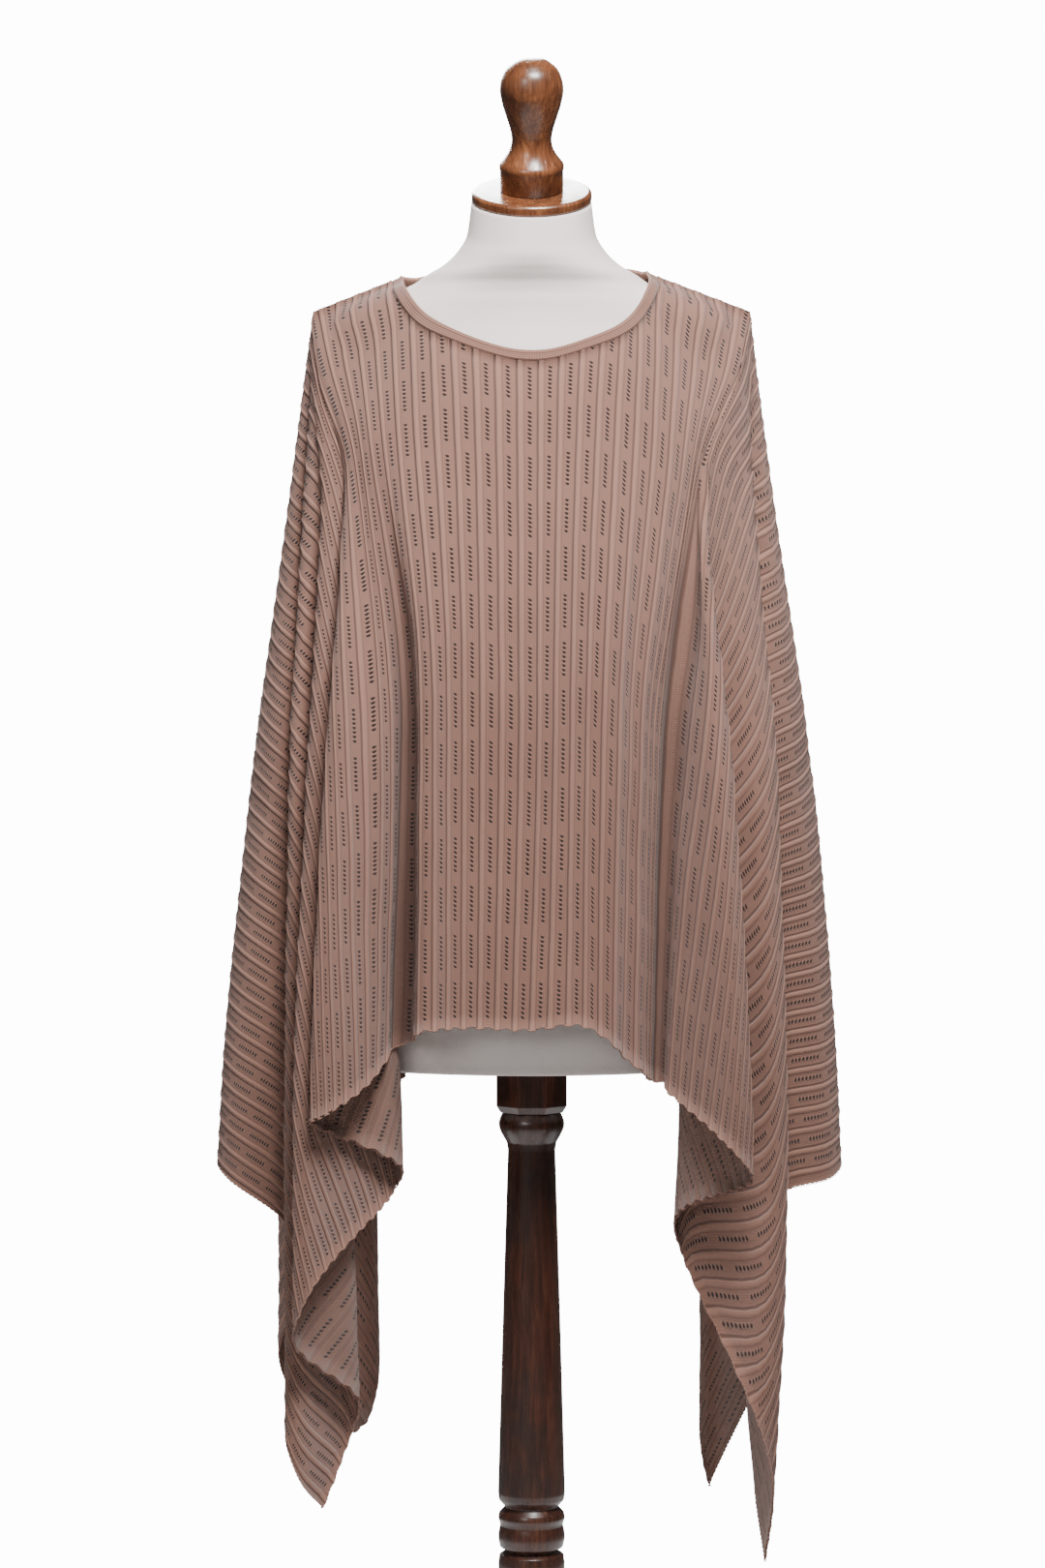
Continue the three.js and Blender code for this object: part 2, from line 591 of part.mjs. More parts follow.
// The neckband: a strip set just inside the neck opening, joined round both panels.
function neckbandGeometry() {
  const wall = new Wall();
  const widths = BODY_COLUMNS.filter((u) => u <= NECK.halfWidth);
  const around = [
    ...widths.map((u) => ({ side: SIDES.right, front: true, u })),
    ...widths.slice(1, -1).reverse().map((u) => ({ side: SIDES.right, front: false, u })),
    ...widths.slice(0, -1).map((u) => ({ side: SIDES.left, front: false, u })),
    ...widths.slice(1).reverse().map((u) => ({ side: SIDES.left, front: true, u })),
  ];
  const section = [
    { inset: BAND_GAP, offset: -WALL / 2 },
    { inset: BAND_GAP, offset: WALL / 2 },
    { inset: BAND_WIDTH * 0.6, offset: WALL / 2 + 0.3 },
    { inset: BAND_WIDTH, offset: WALL / 2 + 1.2 },
    { inset: BAND_WIDTH, offset: -WALL / 2 },
  ];
  const rings = around.map(({ side, front, u }) => {
    const depth = front ? NECK.front : NECK.back;
    return section.map(({ inset, offset }) => {
      const at = neckInset(u, depth, inset);
      const s = front ? at.u / SHOULDER_U : side.end - at.u / SHOULDER_U;
      const n = at.v < NORMAL_TOP ? seamNormal(side, at.u) : side.normal(s, at.v);
      return wall.point(side.middle(s, at.v).addScaledVector(n, offset));
    });
  });
  rings.forEach((ring, i) => {
    const next = rings[(i + 1) % rings.length];
    ring.forEach((id, k) => {
      const m = (k + 1) % ring.length;
      wall.face(id, ring[m], next[k], true);
      wall.face(ring[m], next[m], next[k], true);
    });
  });
  return wall.geometry();
}

// The form: rings at each height, the upper ones tilted with the neck, closed top and bottom.
const FORM_ROUND = 32;
const BODY_RING_STEP = 50;
const BODY_RINGS = 11;
const SHOULDER_RINGS = [1275, 1305, 1330, 1350, 1364, 1376, 1386, 1396, 1406, 1418, 1436];
const EDGE_ROUND = 0.985;

function formGeometry() {
  const wall = new Wall();
  const levels = [];
  const top = FORM_SECTIONS.at(-1).z;
  const lower = Array.from({ length: BODY_RINGS }, (_, i) => FORM_BOTTOM + 2 + i * BODY_RING_STEP);
  const steps = [FORM_BOTTOM, ...lower, ...SHOULDER_RINGS, top];
  steps.forEach((z, k) => {
    const rounding = k === 0 ? EDGE_ROUND : 1;
    const tilt = (Math.tan(NECK_TILT) * Math.max(z - TILT_FROM, 0)) / (top - TILT_FROM);
    const ring = Array.from({ length: FORM_ROUND }, (_, i) => {
      const turn = (2 * Math.PI * i) / FORM_ROUND;
      const depth = (Math.sin(turn) < 0 ? formFront(z) : formBack(z)) - FORM_EASE;
      const x = (formHalf(z) - FORM_EASE) * Math.cos(turn) * rounding;
      const y = depth * Math.sin(turn) * rounding + formY(z);
      return wall.point(new THREE.Vector3(x, y, z + y * tilt));
    });
    levels.push(ring);
  });
  for (let k = 0; k + 1 < levels.length; k += 1) {
    for (let i = 0; i < FORM_ROUND; i += 1) {
      const j = (i + 1) % FORM_ROUND;
      wall.face(levels[k][i], levels[k][j], levels[k + 1][j]);
      wall.face(levels[k][i], levels[k + 1][j], levels[k + 1][i]);
    }
  }
  const ends = [levels[0], levels.at(-1)];
  ends.forEach((ring, k) => {
    for (let i = 1; i + 1 < FORM_ROUND; i += 1) wall.face(ring[0], ring[i], ring[i + 1], k === 0);
  });
  return wall.geometry();
}

// Turned pieces: profiles as radius and height, with round beads as arcs.
const TURNED = 24;

function bead(radius, bottom, top, bulge, steps = 3) {
  return Array.from({ length: steps + 1 }, (_, i) => {
    const t = i / steps;
    return new THREE.Vector2(radius + bulge * Math.sin(Math.PI * t), bottom + (top - bottom) * t);
  });
}

function turned(profile, segments = TURNED) {
  const geometry = new THREE.LatheGeometry(profile, segments);
  geometry.rotateX(Math.PI / 2);
  return geometry;
}

const at = (radius, height) => new THREE.Vector2(radius, height);

function baseGeometry() {
  const edge = BASE.height;
  const rim = BASE.radius;
  const lip = 6;
  return turned([
    at(0, 0),
    at(rim - 3, 0),
    at(rim, 3),
    at(rim, edge - lip - 4),
    at(rim - 2, edge - lip),
    at(rim - lip, edge - 1.5),
    at(rim - lip - 5, edge),
    at(0, edge),
  ], 48);
}

// The post: a foot ring, a straight foot, the lower bead between two grooves, a tapering shaft, and
// a bead with a collar at the top.
function postGeometry() {
  const foot = BASE.height + FIT;
  return turned([
    at(0, foot),
    at(36, foot),
    ...bead(36, foot + 2, foot + 16, 3),
    at(33, foot + 18),
    at(30, foot + 24),
    at(29, 150),
    at(29.3, 268),
    at(28.4, 275),
    at(21.8, 279),
    ...bead(27.8, 282, 301, 1.6),
    at(28.8, 302.5),
    ...bead(28.2, 304, 313, 1.2),
    at(23.5, 318),
    at(28.8, 324),
    at(29.6, 330),
    at(26.6, 440),
    at(23.4, 550),
    at(20.9, 634),
    at(22, 641),
    at(25, 646),
    ...bead(26.6, 649, 665, 2.4),
    at(25.6, POST_TOP),
    at(0, POST_TOP),
  ]);
}

function blockGeometry() {
  const { radius, top, bottom } = BLOCK;
  const corner = radius / Math.cos(Math.PI / BLOCK_SIDES);
  const block = turned([
    at(0, bottom),
    at(corner - 4, bottom),
    at(corner, bottom + 6),
    at(corner, top),
    at(0, top),
  ], BLOCK_SIDES);
  block.rotateZ(Math.PI / BLOCK_SIDES);
  return block;
}

function plateGeometry() {
  const { radius, thickness } = PLATE;
  return turned([
    at(0, 0),
    at(radius - 1.2, 0),
    at(radius, 1.2),
    at(radius, thickness - 2),
    at(radius - 2, thickness),
    at(0, thickness),
  ]);
}

function finialGeometry() {
  const foot = PLATE.thickness + FIT;
  const high = (h) => foot + h;
  return turned([
    at(0, high(0)),
    at(27.6, high(0)),
    at(27.6, high(19)),
    at(28.2, high(21)),
    at(28.2, high(24)),
    at(24, high(29)),
    at(19, high(36)),
    at(17.4, high(43)),
    at(18.6, high(53)),
    at(22.2, high(66)),
    at(26, high(79)),
    at(27.6, high(89)),
    at(26.2, high(99)),
    at(21, high(109)),
    at(11.5, high(115.4)),
    at(0, high(117.2)),
  ]);
}

// Materials and the assembled part.
const knit = new THREE.MeshStandardMaterial({ color: 0x96705f, roughness: 0.95, metalness: 0 });
const linen = new THREE.MeshStandardMaterial({ color: 0xd2c8c0, roughness: 0.9, metalness: 0 });
const lightWood = new THREE.MeshStandardMaterial({ color: 0x8a5a36, roughness: 0.4, metalness: 0 });
const darkWood = new THREE.MeshStandardMaterial({ color: 0x3a2018, roughness: 0.45, metalness: 0 });

function piece(name, geometry, material, parent) {
  const mesh = new THREE.Mesh(geometry, material);
  mesh.name = name;
  parent.add(mesh);
  return mesh;
}

const part = new THREE.Group();
piece('front_panel', panelGeometry(true), knit, part);
piece('back_panel', panelGeometry(false), knit, part);
piece('neckband', neckbandGeometry(), knit, part);
piece('form', formGeometry(), linen, part);
piece('base', baseGeometry(), darkWood, part);
piece('post', postGeometry(), darkWood, part);
piece('post_block', blockGeometry(), darkWood, part);

const head = new THREE.Group();
head.position.set(0, 0, PLATE.z);
head.rotation.x = NECK_TILT;
part.add(head);
piece('neck_plate', plateGeometry(), lightWood, head);
piece('finial', finialGeometry(), lightWood, head);

export default part;
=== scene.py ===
import math

import bpy
import numpy as np
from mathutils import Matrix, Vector


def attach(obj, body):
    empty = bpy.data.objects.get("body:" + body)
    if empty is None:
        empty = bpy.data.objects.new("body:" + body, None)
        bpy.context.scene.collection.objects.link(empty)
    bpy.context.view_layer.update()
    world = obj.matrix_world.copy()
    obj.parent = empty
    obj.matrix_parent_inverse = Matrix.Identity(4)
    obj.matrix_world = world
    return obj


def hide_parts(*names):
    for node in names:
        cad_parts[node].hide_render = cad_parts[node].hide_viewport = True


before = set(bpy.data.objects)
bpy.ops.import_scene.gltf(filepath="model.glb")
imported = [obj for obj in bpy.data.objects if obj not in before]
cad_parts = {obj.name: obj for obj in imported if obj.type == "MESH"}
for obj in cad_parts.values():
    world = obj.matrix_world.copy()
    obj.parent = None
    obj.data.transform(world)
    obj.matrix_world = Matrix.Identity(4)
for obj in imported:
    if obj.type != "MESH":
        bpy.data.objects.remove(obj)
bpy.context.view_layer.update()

# A knitted poncho on a dress form, in millimetres until each mesh is made. The wearer's front faces
# -Y. The poncho's cloth is measured flat: u runs out from the centre rib, v down from the shoulder.
MM = 0.001
RIB_PITCH = 17.0
RIB_SHIFT = 6.8
SHOULDER_RIB = 11.0
SHOULDER_U = SHOULDER_RIB * RIB_PITCH
SELVEDGE_U = SHOULDER_U + 731
LENGTH = 690.0
SHOULDER_X, SHOULDER_Z = 191.0, 1370.0
NECK_RIB = 6.5
NECK_HALF = NECK_RIB * RIB_PITCH
NECK_FRONT, NECK_BACK = 116.0, 24.0
NECK_POWER = 2.5
SEAM_GAP = 0.4
OFF_FORM = 4.0
CLOTH_HALF = 0.7

FORM_BOTTOM = 710.0
NECK_TILT = math.radians(21)
TILT_FROM = 1403.0
PLATE_Z, PLATE_RADIUS, PLATE_THICK = 1467.0, 52.5, 9.0
BASE_RADIUS, BASE_HEIGHT = 190.0, 26.0
BLOCK_RADIUS, BLOCK_BOTTOM = 31.0, 668.0

# Cross-sections of the form: height, half width, depth to the front and to the back, centre in y.
FORM_SECTIONS = np.array([
    [FORM_BOTTOM, 170, 110, 110, 0],
    [770, 176, 116, 116, 0],
    [870, 156, 104, 104, 0],
    [965, 126, 88, 84, 0],
    [1040, 136, 102, 90, 0],
    [1120, 152, 126, 100, 0],
    [1190, 160, 114, 104, 0],
    [1250, 167, 92, 98, 0],
    [1300, 174, 74, 82, 0],
    [1340, 180, 60, 64, 0],
    [1358, 176, 54, 56, 0],
    [1368, 166, 52, 54, 0],
    [1378, 144, 50, 53, -1],
    [1386, 124, 48, 50, -2],
    [1393, 105, 48, 50, -3],
    [1401, 93, 50, 52, -5],
    [1411, 77, 51, 52, -7],
    [1422, 66, 51, 51, -8],
    [1438, 57, 50, 50, -7],
    [PLATE_Z - 0.32, 53, 49, 49, -3],
], dtype=float)

# Guides down the cloth, as in a pattern cutter's drape: out and y are plan places at each depth.
DEPTHS = [0, 60, 165, 420, 700, 1010]


def body(rib, top, out, y, stretch=1):
    return {"rib": rib, "top": top, "out": out, "y": y, "stretch": stretch, "round": 0}


def fold(name, blunt, stretch, angle, out, y):
    return {"name": name, "round": blunt, "stretch": stretch, "angle": angle, "out": out, "y": y}


WEARER_LEFT = {
    "front": [
        body(0, 1403, [1, 1, 1, 1, -6], [0, -50, -98, -143, -140], 1.005),
        body(3.4, 1412, [66, 64, 58, 48, 45], [0, -48, -96, -145, -143], 1.01),
        body(6.5, 1401, [109, 111, 107, 86, 80], [0, -45, -89, -135, -128], 1.025),
        body(8.4, 1387, [143, 142, 131, 98, 94], [0, -38, -84, -124, -112], 1.02),
        body(SHOULDER_RIB, SHOULDER_Z, [191, 179, 144, 111, 103], [0, -34, -77, -111, -100], 1.01),
    ],
    "folds": [
        fold("front edge", 6, 1.07, [86, 84, 79, 74, 72],
             [180, 147, 166, 180, 184], [-34, -81, -155, -190, -192]),
        fold("front valley", 6, 1.02, [80, 80, 66, 60, 55],
             [182, 153, 140, 131, 120], [-32, -75, -98, -92, -70]),
        fold("corner edge", 7, 1.085, [55, 45, 49, 50, 48],
             [189, 193, 207, 212, 194], [-22, -50, -112, -140, -150]),
        fold("side valley", 6, 1.085, [45, 41, 37, 35, 38],
             [190, 182, 168, 178, 206], [-16, -30, -30, -40, -44]),
        fold("sleeve inner edge", 5, 1, [38, 38, 28, 20, 24],
             [194, 193, 205, 208, 236], [-12, -32, -58, -56, -50]),
        fold("sleeve outer edge", 8, 1.012, [25, 30, 18, 12, 14],
             [197, 209, 242, 264, 274], [-8, -20, -34, -36, -30]),
        fold("shoulder seam", 0, 1, [0, 0, 0, 0, 0],
             [197, 208, 240, 254, 262], [2, 8, 52, 84, 96]),
        fold("back sleeve edge", 8, 1, [-16, -20, -16, -13, -13],
             [196, 206, 234, 242, 246], [8, 26, 108, 158, 170]),
        fold("back sleeve valley", 6, 1, [-24, -28, -27, -27, -27],
             [194, 192, 190, 196, 200], [14, 38, 84, 98, 100]),
        fold("back side edge", 7, 1.05, [-34, -38, -38, -38, -38],
             [192, 186, 202, 222, 226], [20, 52, 134, 190, 200]),
        fold("back corner valley", 7, 1.07, [-46, -46, -46, -46, -44],
             [189, 172, 160, 160, 160], [26, 62, 104, 126, 136]),
        fold("back corner edge", 7, 1.05, [-58, -58, -59, -60, -60],
             [186, 160, 176, 194, 196], [30, 74, 148, 200, 206]),
        fold("back valley", 6, 1, [-70, -70, -71, -72, -72],
             [182, 152, 136, 132, 130], [34, 79, 108, 116, 120]),
        fold("back edge", 7, 1, [-80, -80, -80, -80, -80],
             [180, 146, 154, 160, 162], [38, 88, 142, 176, 178]),
    ],
    "back": [
        body(SHOULDER_RIB, SHOULDER_Z, [191, 179, 141, 120, 112], [0, 40, 86, 112, 114]),
        body(8.5, 1386, [143, 140, 126, 104, 96], [0, 44, 92, 128, 132]),
        body(6.5, 1401, [109, 108, 100, 86, 79], [0, 48, 97, 128, 132]),
        body(0, 1410, [1, 1, 1, 1, 1], [44, 76, 100, 118, 122]),
    ],
}
WEARER_RIGHT = {
    "front": [
        body(0, 1403, [-1, -1, -1, -1, 6], [0, -50, -98, -143, -140], 1.005),
        body(4.1, 1411, [80, 78, 73, 64, 65], [0, -48, -95, -144, -142], 1.01),
        body(6.5, 1397, [122, 118, 113, 92, 94], [0, -43, -90, -146, -150], 0.99),
        body(8.2, 1385, [148, 143, 133, 106, 112], [0, -39, -86, -131, -113], 0.985),
        body(SHOULDER_RIB, SHOULDER_Z, [191, 179, 153, 131, 134], [0, -34, -78, -140, -152]),
    ],
    "folds": [
        fold("front edge", 6, 1.035, [84, 84, 82, 81, 80],
             [184, 160, 172, 182, 184], [-32, -72, -152, -184, -186]),
        fold("front valley", 6, 1.05, [78, 78, 73, 70, 68],
             [185, 160, 138, 116, 112], [-30, -68, -100, -91, -88]),
        fold("tongue edge", 7, 1.04, [62, 60, 57, 55, 54],
             [188, 180, 188, 196, 197], [-26, -64, -118, -164, -166]),
        fold("tongue valley", 6, 1.035, [54, 53, 49, 47, 47],
             [190, 182, 172, 160, 152], [-22, -52, -82, -96, -60]),
        fold("corner edge", 6, 1.045, [44, 44, 41, 40, 40],
             [192, 198, 206, 207, 206], [-18, -42, -84, -118, -120]),
        fold("side valley", 6, 1, [38, 38, 31, 28, 32],
             [191, 184, 170, 176, 178], [-14, -27, -26, -34, -36]),
        fold("sleeve inner edge", 5, 1.012, [34, 34, 26, 22, 24],
             [194, 197, 208, 211, 214], [-11, -28, -56, -62, -60]),
        fold("sleeve outer edge", 8, 1.012, [24, 26, 17, 12, 12],
             [198, 210, 240, 267, 278], [-7, -16, -34, -40, -36]),
        fold("shoulder seam", 0, 1, [0, 0, 0, 0, 0],
             [198, 210, 244, 262, 268], [2, 8, 50, 80, 92]),
        fold("back sleeve edge", 8, 1, [-15, -18, -15, -13, -13],
             [197, 208, 238, 250, 252], [8, 24, 102, 150, 160]),
        fold("back sleeve valley", 6, 1, [-25, -28, -28, -29, -29],
             [194, 194, 194, 198, 200], [14, 38, 80, 92, 96]),
        fold("back side edge", 7, 1.03, [-36, -40, -40, -41, -41],
             [192, 188, 206, 226, 228], [20, 52, 130, 184, 196]),
        fold("back corner valley", 7, 1.05, [-48, -50, -50, -50, -46],
             [189, 172, 158, 148, 142], [26, 62, 102, 126, 150]),
        fold("back corner edge", 7, 1.03, [-62, -62, -62, -62, -62],
             [186, 158, 174, 190, 192], [30, 76, 150, 202, 208]),
        fold("back valley", 6, 1, [-74, -74, -74, -75, -75],
             [182, 152, 130, 118, 116], [34, 79, 108, 118, 122]),
    ],
    "back": [
        body(SHOULDER_RIB, SHOULDER_Z, [191, 179, 146, 140, 138], [0, 40, 88, 138, 166]),
        body(8.5, 1385, [151, 145, 130, 116, 112], [0, 44, 92, 130, 138]),
        body(6.5, 1397, [122, 118, 104, 92, 88], [0, 46, 96, 128, 132]),
        body(0, 1410, [-1, -1, -1, -1, -1], [44, 76, 100, 118, 122]),
    ],
}


# Curves through table rows, for whole arrays of places at once.
def spline(at, value, overshoot=False):
    at, value = np.asarray(at, float), np.asarray(value, float)
    gap = np.diff(at)
    chord = np.diff(value) / gap
    slope = np.zeros_like(value)
    slope[0], slope[-1] = chord[0], chord[-1]
    before, after = chord[:-1], chord[1:]
    if overshoot:
        slope[1:-1] = (before * gap[1:] + after * gap[:-1]) / (gap[:-1] + gap[1:])
    else:
        same = before * after > 0
        total = np.where(same, before + after, 1)
        slope[1:-1] = np.where(same, 2 * before * after / total, 0)

    def curve(a):
        x = np.clip(a, at[0], at[-1])
        i = np.clip(np.searchsorted(at, x, side="right") - 1, 0, len(at) - 2)
        h = at[i + 1] - at[i]
        t = (x - at[i]) / h
        rise = t * t * (3 - 2 * t)
        lead = t * (1 - t) ** 2 * h * slope[i]
        trail = t * t * (t - 1) * h * slope[i + 1]
        return value[i] + (value[i + 1] - value[i]) * rise + lead + trail

    return curve


# Where a fast step of a section meets a slow one, the slope is cut down on the slow side.
SLOPE_LIMIT = 1.6


def unit(vectors):
    return vectors / np.maximum(np.linalg.norm(vectors, axis=-1, keepdims=True), 1e-9)


def path(at, points, s):
    """Places s on a smooth path through one section's knots, level at its ends in y and z."""
    gap = np.diff(at)[:, None]
    chord = np.diff(points, axis=0) / gap
    slope = np.zeros_like(points)
    slope[0, 0], slope[-1, 0] = chord[0, 0], chord[-1, 0]
    slope[1:-1] = (chord[:-1] * gap[1:] + chord[1:] * gap[:-1]) / (gap[:-1] + gap[1:])
    speed = np.maximum(np.linalg.norm(slope, axis=1), 1e-9)
    most = SLOPE_LIMIT * np.linalg.norm(chord, axis=1)
    start = slope[:-1] * np.minimum(1, most / speed[:-1])[:, None]
    end = slope[1:] * np.minimum(1, most / speed[1:])[:, None]
    i = np.clip(np.searchsorted(at, s, side="right") - 1, 0, len(at) - 2)
    h = gap[i]
    t = (np.clip(s, at[0], at[-1]) - at[i])[:, None] / h
    rise = points[i] + (points[i + 1] - points[i]) * t * t * (3 - 2 * t)
    return rise + start[i] * t * (1 - t) ** 2 * h + end[i] * t * t * (t - 1) * h


FORM_Z = FORM_SECTIONS[:, 0]
form_half = spline(FORM_Z, FORM_SECTIONS[:, 1])
form_front = spline(FORM_Z, FORM_SECTIONS[:, 2])
form_back = spline(FORM_Z, FORM_SECTIONS[:, 3])
form_y = spline(FORM_Z, FORM_SECTIONS[:, 4])


def form_level(p):
    y = p[..., 1] - form_y(p[..., 2])
    depth = np.where(y < 0, form_front(p[..., 2]), form_back(p[..., 2]))
    return np.hypot(p[..., 0] / form_half(p[..., 2]), y / depth) - 1


PROBE, PUSHES, TOO_DEEP = 0.5, 8, -0.5


def clear_of_form(p, gap):
    """Moves points that are nearer the form than the gap straight out to it."""
    for _ in range(PUSHES):
        here = form_level(p)
        grad = np.stack([(form_level(p + PROBE * axis) - here) / PROBE for axis in np.eye(3)], axis=-1)
        steep = np.linalg.norm(grad, axis=-1)
        away = here / steep
        push = np.where((away < gap) & (here > TOO_DEEP), (gap - away) / steep, 0)
        p = p + grad * push[..., None]
    return p


# A fold's line is turned round a blunt nose, which is at its full size from this depth down. No
# stretch of cloth between two steps down runs flatter than the steepest run allows.
TURN, FULL_ROUND_DEPTH = 0.14, 420
DRAPE_STEP, STEEPEST_RUN = 10.0, 0.95
SEAM_FADE = 90.0
DEPTH_STEP, S_STEP = 5.0, 0.02


class Guide:
    def __init__(self, row):
        in_body = "rib" in row
        depths = DEPTHS[:-1] if in_body else DEPTHS
        self.out = spline(depths, row["out"] if in_body else [SHOULDER_X] + row["out"])
        self.y = spline(depths, row["y"] if in_body else [0] + row["y"])
        self.angle = None if in_body else spline(DEPTHS, row["angle"][:1] + row["angle"])
        steps = np.arange(0, DEPTHS[-1] + 2 * DRAPE_STEP, DRAPE_STEP)
        run = np.hypot(np.diff(self.out(steps)), np.diff(self.y(steps)))
        slant = DRAPE_STEP * row["stretch"]
        fall = np.sqrt(slant**2 - np.minimum(run, STEEPEST_RUN * slant) ** 2)
        top = row["top"] if in_body else SHOULDER_Z
        heights = top - np.concatenate([[0], np.cumsum(fall)])
        self.z = lambda d: np.interp(d, steps, heights)
        self.round = row["round"]


class Side:
    """One half of the poncho, from the front centre round the arm to the back centre."""

    def __init__(self, table, hand):
        self.hand = hand
        rows = table["front"] + table["folds"] + table["back"]
        lines = [Guide(row) for row in rows]
        fronts, folds = len(table["front"]), len(table["folds"])
        self.end = folds + 3.0
        names = [row["name"] for row in table["folds"]]
        self.seam = 2.0 + names.index("shoulder seam")
        depth = np.arange(0, DEPTHS[-1] + DEPTH_STEP * 2, DEPTH_STEP)
        plan = [np.stack([line.out(depth), line.y(depth)], axis=-1) for line in lines]
        at, knots = [], []
        for k, (row, line) in enumerate(zip(rows, lines)):
            if k < fronts:
                places = [(row["rib"] / SHOULDER_RIB, 0)]
            elif k >= fronts + folds:
                places = [(self.end - row["rib"] / SHOULDER_RIB, 0)]
            else:
                turns = (-1, 1) if line.round else (0,)
                places = [(2 + k - fronts + turn * TURN, turn) for turn in turns]
            for place, turn in places:
                here = plan[k]
                if turn:
                    bend = unit(unit(here - plan[k - 1]) + unit(plan[k + 1] - here))
                    blunt = line.round * np.minimum(depth / FULL_ROUND_DEPTH, 1) * turn
                    here = here + bend * blunt[:, None]
                at.append(place)
                knots.append(np.concatenate([here, line.z(depth)[:, None]], axis=-1))
        at, knots = np.array(at), np.array(knots)
        s = np.arange(0, self.end + S_STEP / 2, S_STEP)
        grid = np.empty((len(depth), len(s), 3))
        angle_at = [1] + list(range(2, 2 + folds)) + [2 + folds]
        turned = np.linspace(-90, 90, 721)
        self.unfold = np.empty((len(depth), len(turned)))
        for j, d in enumerate(depth):
            grid[j] = path(at, knots[:, j], s)
            angles = [90] + [float(line.angle(d)) for line in lines[fronts:fronts + folds]] + [-90]
            here = spline(angle_at, angles)(s)
            inside = (s >= 1) & (s <= self.end - 1 + 1e-9)
            self.unfold[j] = np.interp(turned, here[inside][::-1], s[inside][::-1])
        grid += self.seam_shift(grid[0], s, depth, table["front"])
        grid[..., 0] *= hand
        self.grid = grid

    def seam_shift(self, start, s, depth, front):
        """Between the neck and the shoulder point both panels start from one straight seam line."""
        neck = next(row for row in front if row["rib"] == NECK_RIB)
        rib = np.minimum(s, self.end - s) * SHOULDER_RIB
        share = (rib - NECK_RIB) / (SHOULDER_RIB - NECK_RIB)
        used = (rib >= NECK_RIB - 1e-9) & (rib <= SHOULDER_RIB + 1e-9)
        line = np.stack([
            neck["out"][0] + (SHOULDER_X - neck["out"][0]) * share,
            np.zeros_like(s),
            neck["top"] + (SHOULDER_Z - neck["top"]) * share,
        ], axis=-1)
        shift = np.where(used[:, None], line - start, 0)
        fade = np.clip(1 - depth / SEAM_FADE, 0, 1) ** 2
        return fade[:, None, None] * shift[None]

    def place(self, s, d):
        """The middle of the cloth at these places, by the drape."""
        j = np.clip(d / DEPTH_STEP, 0, self.grid.shape[0] - 1.001)
        i = np.clip(s / S_STEP, 0, self.grid.shape[1] - 1.001)
        j0, i0 = j.astype(int), i.astype(int)
        a, b = (j - j0)[..., None], (i - i0)[..., None]
        g = self.grid
        upper = g[j0, i0] * (1 - b) + g[j0, i0 + 1] * b
        lower = g[j0 + 1, i0] * (1 - b) + g[j0 + 1, i0 + 1] * b
        return upper * (1 - a) + lower * a

    def cloth(self, u, v, front):
        """The middle of the cloth at flat places u, v of the front or the back panel."""
        past = u > SHOULDER_U
        d = np.where(past, np.hypot(u - SHOULDER_U, v), v)
        theta = np.degrees(np.arctan2(v, u - SHOULDER_U)) * (1 if front else -1)
        j = np.clip(d / DEPTH_STEP, 0, self.unfold.shape[0] - 1.001)
        k = np.clip((theta + 90) * 4, 0, self.unfold.shape[1] - 1.001)
        j0, k0 = j.astype(int), k.astype(int)
        a, b = j - j0, k - k0
        w = self.unfold
        upper = w[j0, k0] * (1 - b) + w[j0, k0 + 1] * b
        lower = w[j0 + 1, k0] * (1 - b) + w[j0 + 1, k0 + 1] * b
        in_body = u / SHOULDER_U if front else self.end - u / SHOULDER_U
        s = np.where(past, upper * (1 - a) + lower * a, in_body)
        return self.place(s, d)


SIDES = {1: Side(WEARER_LEFT, 1), -1: Side(WEARER_RIGHT, -1)}


def neck_depth(u, depth):
    share = np.minimum(np.abs(u) / NECK_HALF, 1)
    return depth * np.sqrt(np.maximum(1 - share**NECK_POWER, 0)) + SEAM_GAP / 2


# Soft creases drawn on each panel: u along the cloth, v where it starts and ends, how deep
# it is, how wide, and how far it leans outwards on its way down.
FRONT_CREASES = [
    (-139, 150, 690, -12, 13, 0),
    (-98, 260, 690, 2.6, 15, -4),
    (-40, 420, 690, -1.6, 18, 6),
    (16, 360, 690, 1.6, 22, 4),
    (52, 300, 690, -2.0, 16, 4),
    (82, 200, 690, 2.4, 13, 6),
    (104, 150, 690, -3.0, 13, 8),
    (130, 110, 690, 2.6, 13, 6),
    (196, 150, 690, -12, 13, 4),
    (-148, 60, 420, 1.8, 14, -10),
    (150, 40, 360, 1.8, 12, 12),
    (260, 60, 300, -2.0, 16, 30),
    (-270, 80, 330, -2.0, 18, -34),
    (420, 120, 420, 2.0, 24, 30),
    (-440, 100, 400, 1.8, 26, -30),
    (560, 60, 300, -2.2, 26, 24),
    (-590, 90, 330, -2.4, 28, -26),
]
BACK_CREASES = [
    (-120, 200, 690, 2.6, 16, -6),
    (-70, 300, 690, -2.4, 18, -4),
    (-22, 380, 690, 1.8, 20, 4),
    (34, 260, 690, -2.2, 17, 6),
    (78, 340, 690, 2.4, 15, 4),
    (122, 180, 690, -2.6, 14, 8),
    (250, 60, 320, 2.0, 18, 30),
    (-262, 90, 350, -2.0, 18, -28),
    (430, 100, 420, -2.2, 26, 30),
    (-450, 130, 430, 2.0, 24, -32),
    (580, 70, 320, 2.0, 28, 24),
    (-600, 60, 300, -2.2, 26, -26),
]


def smooth(low, high, x):
    t = np.clip((x - low) / (high - low), 0, 1)
    return t * t * (3 - 2 * t)


FADE_IN, FADE_OUT = 0.35, 0.3


